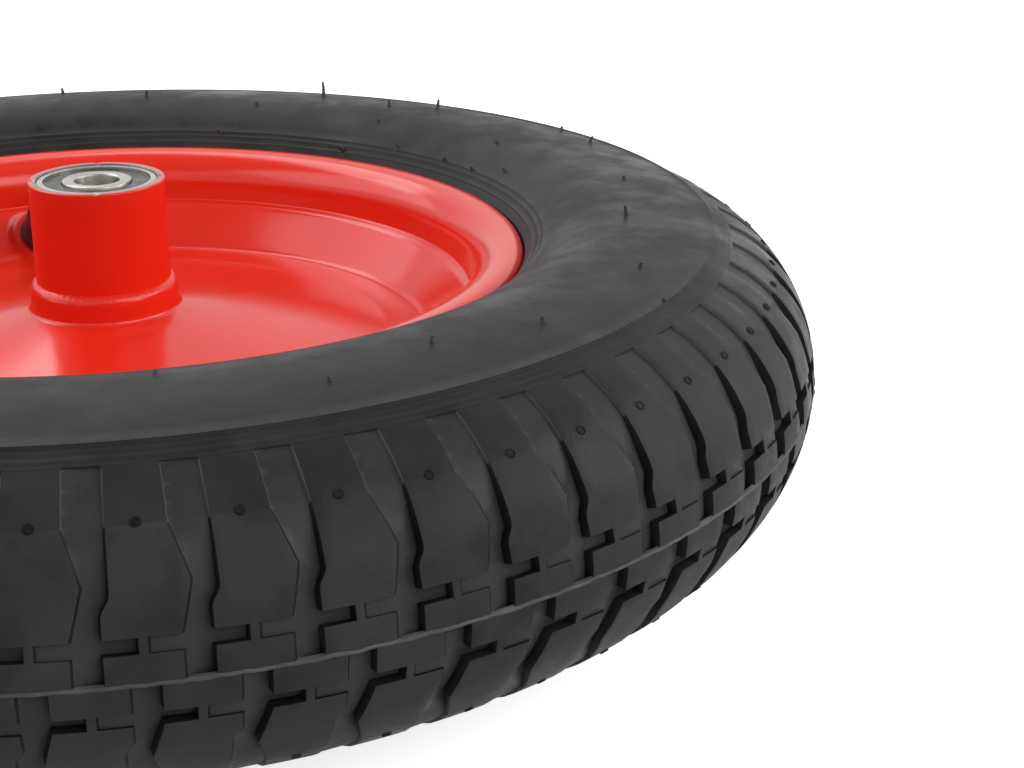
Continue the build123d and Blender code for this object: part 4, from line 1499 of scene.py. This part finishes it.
def lay_floor(stage, ground):
    """Pale floor that keeps the wheel's shadow and lies white under the camera."""
    bm = bmesh.new()
    bmesh.ops.create_grid(bm, x_segments=8, y_segments=8, size=4.0, matrix=Matrix.Translation((0, 0, ground)))
    floor = object_from(bm, "studio_floor")
    floor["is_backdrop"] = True
    finish = Finish("floor_paper", roughness=0.9, emission_strength=stage.floor_glow,
                    specular_ior_level=0.1)
    colour = finish.drift(Vector(stage.floor_colour), 1.0, 0.99, scale=3.0, detail=3.0, contrast=0.3)
    finish.feed("Base Color", colour)
    seen = finish.tree.nodes.new("ShaderNodeLightPath").outputs
    other = finish.number("MAXIMUM", seen["Is Glossy Ray"], seen["Is Transmission Ray"])
    either = finish.number("MAXIMUM", seen["Is Camera Ray"], finish.number("MULTIPLY", other, 0.35))
    finish.feed("Emission Color", finish.blend(either, (0, 0, 0), (1, 1, 1)))
    floor.data.materials.append(finish.material)


def hang_card(stage):
    """Grey card overhead that keeps the paint's reflections deep."""
    bm = bmesh.new()
    bmesh.ops.create_grid(
        bm, x_segments=1, y_segments=1, size=1.0,
        matrix=Matrix.Translation(stage.card_place) @ Matrix.Diagonal((*stage.card_size, 1, 1)))
    card = object_from(bm, "grey_card")
    card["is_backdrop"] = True
    card.visible_diffuse = False
    card.visible_shadow = False
    finish = Finish("card_grey", roughness=0.9)
    colour = finish.drift(Vector((0.4, 0.4, 0.4)), 1.0, 1.1, scale=2.0, detail=2.0, contrast=0.4)
    finish.feed("Base Color", colour)
    card.data.materials.append(finish.material)


def hang_soft_box(name, azimuth, elevation, distance, width, height, power):
    """Rectangular soft box that looks at the wheel's middle from a direction."""
    lamp = bpy.data.lights.new(name, "AREA")
    lamp.shape = "RECTANGLE"
    lamp.size = width
    lamp.size_y = height
    lamp.energy = power
    box = bpy.data.objects.new(name, lamp)
    bpy.context.scene.collection.objects.link(box)
    az, el = math.radians(azimuth), math.radians(elevation)
    away = Vector((math.cos(el) * math.cos(az), math.cos(el) * math.sin(az), math.sin(el)))
    box.location = away * distance
    box.rotation_euler = away.to_track_quat("Z", "Y").to_euler()


def light_world(scene, stage):
    """Even grey light all round, white where the camera or a gloss sees it."""
    world = bpy.data.worlds.new("studio")
    world.use_nodes = True
    scene.world = world
    tree = world.node_tree
    light = tree.nodes["Background"]
    seen = tree.nodes.new("ShaderNodeLightPath").outputs
    either = math_node(tree, "MAXIMUM", seen["Is Camera Ray"], seen["Is Glossy Ray"])
    either = math_node(tree, "MAXIMUM", either, seen["Is Transmission Ray"])
    strength = math_node(tree, "MULTIPLY_ADD", either, 1.0 - stage.world_light, stage.world_light)
    light.inputs["Color"].default_value = (1, 1, 1, 1)
    tree.links.new(strength, light.inputs["Strength"])


def aim_camera(scene, stage):
    """Camera at the photograph's place and angle."""
    lens = bpy.data.cameras.new("photo_camera")
    lens.lens = stage.lens
    lens.sensor_width = 36.0
    lens.clip_start = 0.01
    lens.clip_end = 50.0
    camera = bpy.data.objects.new("photo_camera", lens)
    scene.collection.objects.link(camera)
    place = Vector(stage.camera_place)
    look = (Vector(stage.camera_target) - place).to_track_quat("-Z", "Y").to_matrix()
    camera.location = place
    camera.rotation_euler = (look @ Matrix.Rotation(stage.camera_roll, 3, "Z")).to_euler()
    scene.camera = camera


# Operators, one for each group of pieces

class WHEEL_OT_tyre(bpy.types.Operator):
    """Build the moulded tyre with its lugs, pockets, shoulder bands and beads"""
    bl_idname = "wheel.build_tyre"
    bl_label = "Build tyre"

    def execute(self, context):
        tyre = context.scene.wheel_tyre
        rubber = tyre_rubber_finish(context.scene.wheel_colours, tyre)
        ring = finish_piece(tyre_ring(tyre), "moulded_tyre", "wheel", rubber, ("tyre",), 38)
        # Near-black second material for the steep groove walls: painted shade.
        ring.data.materials.append(soft_rubber_finish("groove_wall_painted_shade", (0.007, 0.007, 0.007), gloss=0.1))
        return {"FINISHED"}


class WHEEL_OT_mould_marks(bpy.types.Operator):
    """Add the vent hairs, the round vent marks on the lugs and the parting line's flash"""
    bl_idname = "wheel.build_mould_marks"
    bl_label = "Build mould marks"

    def execute(self, context):
        tyre = context.scene.wheel_tyre
        marks = (
            ("vent_hairs", vent_hairs(tyre), bpy.data.materials["tyre_rubber"]),
            # The vent marks' near-black rubber is painted shade for the shadow in their hollows.
            ("lug_vent_marks", lug_nubs(tyre),
             soft_rubber_finish("vent_mark_painted_shade", (0.008, 0.008, 0.0085), gloss=0.15)),
            ("parting_flash", parting_flash(tyre, node_radius("tyre")),
             soft_rubber_finish("flash_rubber", (0.05, 0.05, 0.05))),
        )
        for name, bm, rubber in marks:
            finish_piece(bm, name, "wheel", rubber)
        return {"FINISHED"}


class WHEEL_OT_rim(bpy.types.Operator):
    """Build the two pressed halves of the rim and punch the valve's hole"""
    bl_idname = "wheel.build_rim"
    bl_label = "Build rim"

    def execute(self, context):
        rim = context.scene.wheel_rim
        paint = rim_paint_finish(context.scene.wheel_colours, "rim_paint")
        bm = rim_half(rim)
        press_valve_seat(bm, rim)
        upper = finish_piece(bm, "pressed_rim_upper", "wheel", paint, ("rim_half_upper",))
        punch_hole(upper, valve_place(rim), rim.valve_hole / 2, 12 * MM)
        lower = turned_over(rim_half(rim))
        finish_piece(lower, "pressed_rim_lower", "wheel", paint, ("rim_half_lower",))
        return {"FINISHED"}


class WHEEL_OT_hub(bpy.types.Operator):
    """Build the hub tube and the weld that joins it to each half of the rim"""
    bl_idname = "wheel.build_hub"
    bl_label = "Build hub"

    def execute(self, context):
        scene = context.scene
        bare_end = {"inner": 0.0, "outer": 16.8 * MM, "low": 0.0, "high": 1.0,
                    "softness": 0.3 * MM, "raggedness": 2.4 * MM, "rag_scale": 210.0}
        tube_paint = rim_paint_finish(scene.wheel_colours, "hub_paint", bare_end)
        finish_piece(hub_tube(scene.wheel_hub), "hub_sleeve", "wheel", tube_paint, ("hub_tube",))
        weld_paint = rim_paint_finish(scene.wheel_colours, "weld_paint", lumpy=0.12, dull=0.12)
        for end in ("upper", "lower"):
            weld = hub_weld(scene.wheel_rim)
            if end == "lower":
                turned_over(weld)
            finish_piece(weld, f"weld_bead_{end}", "wheel", weld_paint, (f"hub_weld_{end}",), 60)
        return {"FINISHED"}


class WHEEL_OT_bearings(bpy.types.Operator):
    """Build the rings and outside shields of both bearings and dress their inner parts"""
    bl_idname = "wheel.build_bearings"
    bl_label = "Build bearings"

    def execute(self, context):
        bearing = context.scene.wheel_bearing
        colours = context.scene.wheel_colours
        ground = ground_steel_finish(colours)
        pressed = pressed_steel_finish(colours)
        shapes = (
            ("outer_ring", bearing_outer_ring, "bearing_steel", ground, "wheel"),
            ("inner_ring", bearing_inner_ring, "bearing_steel", ground, "inner_race"),
            ("outside_shield", bearing_shield, "pressed_steel", pressed, "wheel"),
        )
        lift = node_top("inner_ring_upper") - bearing.width / 2
        for name, make, slot_name, material, body in shapes:
            for end in ("upper", "lower"):
                bm = make(bearing)
                bmesh.ops.translate(bm, verts=bm.verts, vec=(0, 0, lift))
                if end == "lower":
                    turned_over(bm)
                owner = body if body == "wheel" else f"{body}_{end}"
                finish_piece(bm, f"{name}_{end}_turned", owner, material, (f"{name}_{end}",))
        dress_nodes(("inside_shield_upper", "inside_shield_lower", "ball_cage_upper", "ball_cage_lower"),
                    pressed)
        dress_nodes(("balls_upper", "balls_lower"), ball_steel_finish(colours))
        return {"FINISHED"}


class WHEEL_OT_valve(bpy.types.Operator):
    """Build the valve's rubber stem, threaded metal tube and cap, and dress the rest"""
    bl_idname = "wheel.build_valve"
    bl_label = "Build valve"

    def execute(self, context):
        rim = context.scene.wheel_rim
        colours = context.scene.wheel_colours
        place = valve_place(rim)
        rubber = soft_rubber_finish("valve_rubber", colours.valve_rubber, place)
        brass = brass_finish(colours, place)
        cap = cap_plastic_finish(colours, place)
        pieces = (
            (valve_stem(rim), "valve_stem_rubber", "wheel", "valve_rubber", rubber, "valve_stem", 35),
            (valve_insert(), "valve_threaded_tube", "wheel", "brass", brass, "valve_insert", 50),
            (valve_cap(), "valve_screw_cap", "dust_cap", "cap_plastic", cap, "valve_cap", 35),
        )
        for bm, name, body, slot_name, material, node, smooth in pieces:
            finish_piece(placed(bm, place), name, body, material, (node,), smooth)
        dress_nodes(("valve_core", "valve_pin"), brass)
        dress_nodes(("valve_spring",), spring_steel_finish(colours))
        dress_nodes(("inner_tube",), soft_rubber_finish("tube_rubber", (0.03, 0.03, 0.032)))
        return {"FINISHED"}


class WHEEL_OT_stage(bpy.types.Operator):
    """Lay the pale floor and set up the card, the lamps, the world and the camera"""
    bl_idname = "wheel.build_stage"
    bl_label = "Build stage"

    def execute(self, context):
        stage = context.scene.wheel_stage
        lay_floor(stage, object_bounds()[0].z)
        hang_card(stage)
        for name in ("key_box", "front_box", "side_box", "back_box"):
            hang_soft_box(name, *getattr(stage, name))
        light_world(context.scene, stage)
        aim_camera(context.scene, stage)
        context.scene.view_settings.view_transform = "Standard"
        return {"FINISHED"}


class WHEEL_PT_sidebar(bpy.types.Panel):
    """Lists the wheel's steps in the 3D view"""
    bl_idname = "WHEEL_PT_sidebar"
    bl_label = "Barrow wheel"
    bl_space_type = "VIEW_3D"
    bl_region_type = "UI"
    bl_category = "Wheel"

    def draw(self, context):
        for step in STEPS:
            self.layout.operator(step.bl_idname)


STEPS = (WHEEL_OT_tyre, WHEEL_OT_mould_marks, WHEEL_OT_rim, WHEEL_OT_hub, WHEEL_OT_bearings,
         WHEEL_OT_valve, WHEEL_OT_stage)
SIZES = {
    "wheel_tyre": TyreSizes, "wheel_rim": RimSizes, "wheel_hub": HubSizes,
    "wheel_bearing": BearingSizes, "wheel_colours": WheelColours, "wheel_stage": StageSizes,
}


def register():
    for group in SIZES.values():
        bpy.utils.register_class(group)
    for step in STEPS:
        bpy.utils.register_class(step)
    bpy.utils.register_class(WHEEL_PT_sidebar)
    for name, group in SIZES.items():
        setattr(bpy.types.Scene, name, bpy.props.PointerProperty(type=group))


def unregister():
    for name in SIZES:
        delattr(bpy.types.Scene, name)
    bpy.utils.unregister_class(WHEEL_PT_sidebar)
    for step in reversed(STEPS):
        bpy.utils.unregister_class(step)
    for group in reversed(list(SIZES.values())):
        bpy.utils.unregister_class(group)


def main():
    register()
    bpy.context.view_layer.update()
    bpy.ops.wheel.build_tyre()
    bpy.ops.wheel.build_mould_marks()
    bpy.ops.wheel.build_rim()
    bpy.ops.wheel.build_hub()
    bpy.ops.wheel.build_bearings()
    bpy.ops.wheel.build_valve()
    bpy.ops.wheel.build_stage()


if __name__ == "__main__":
    main()
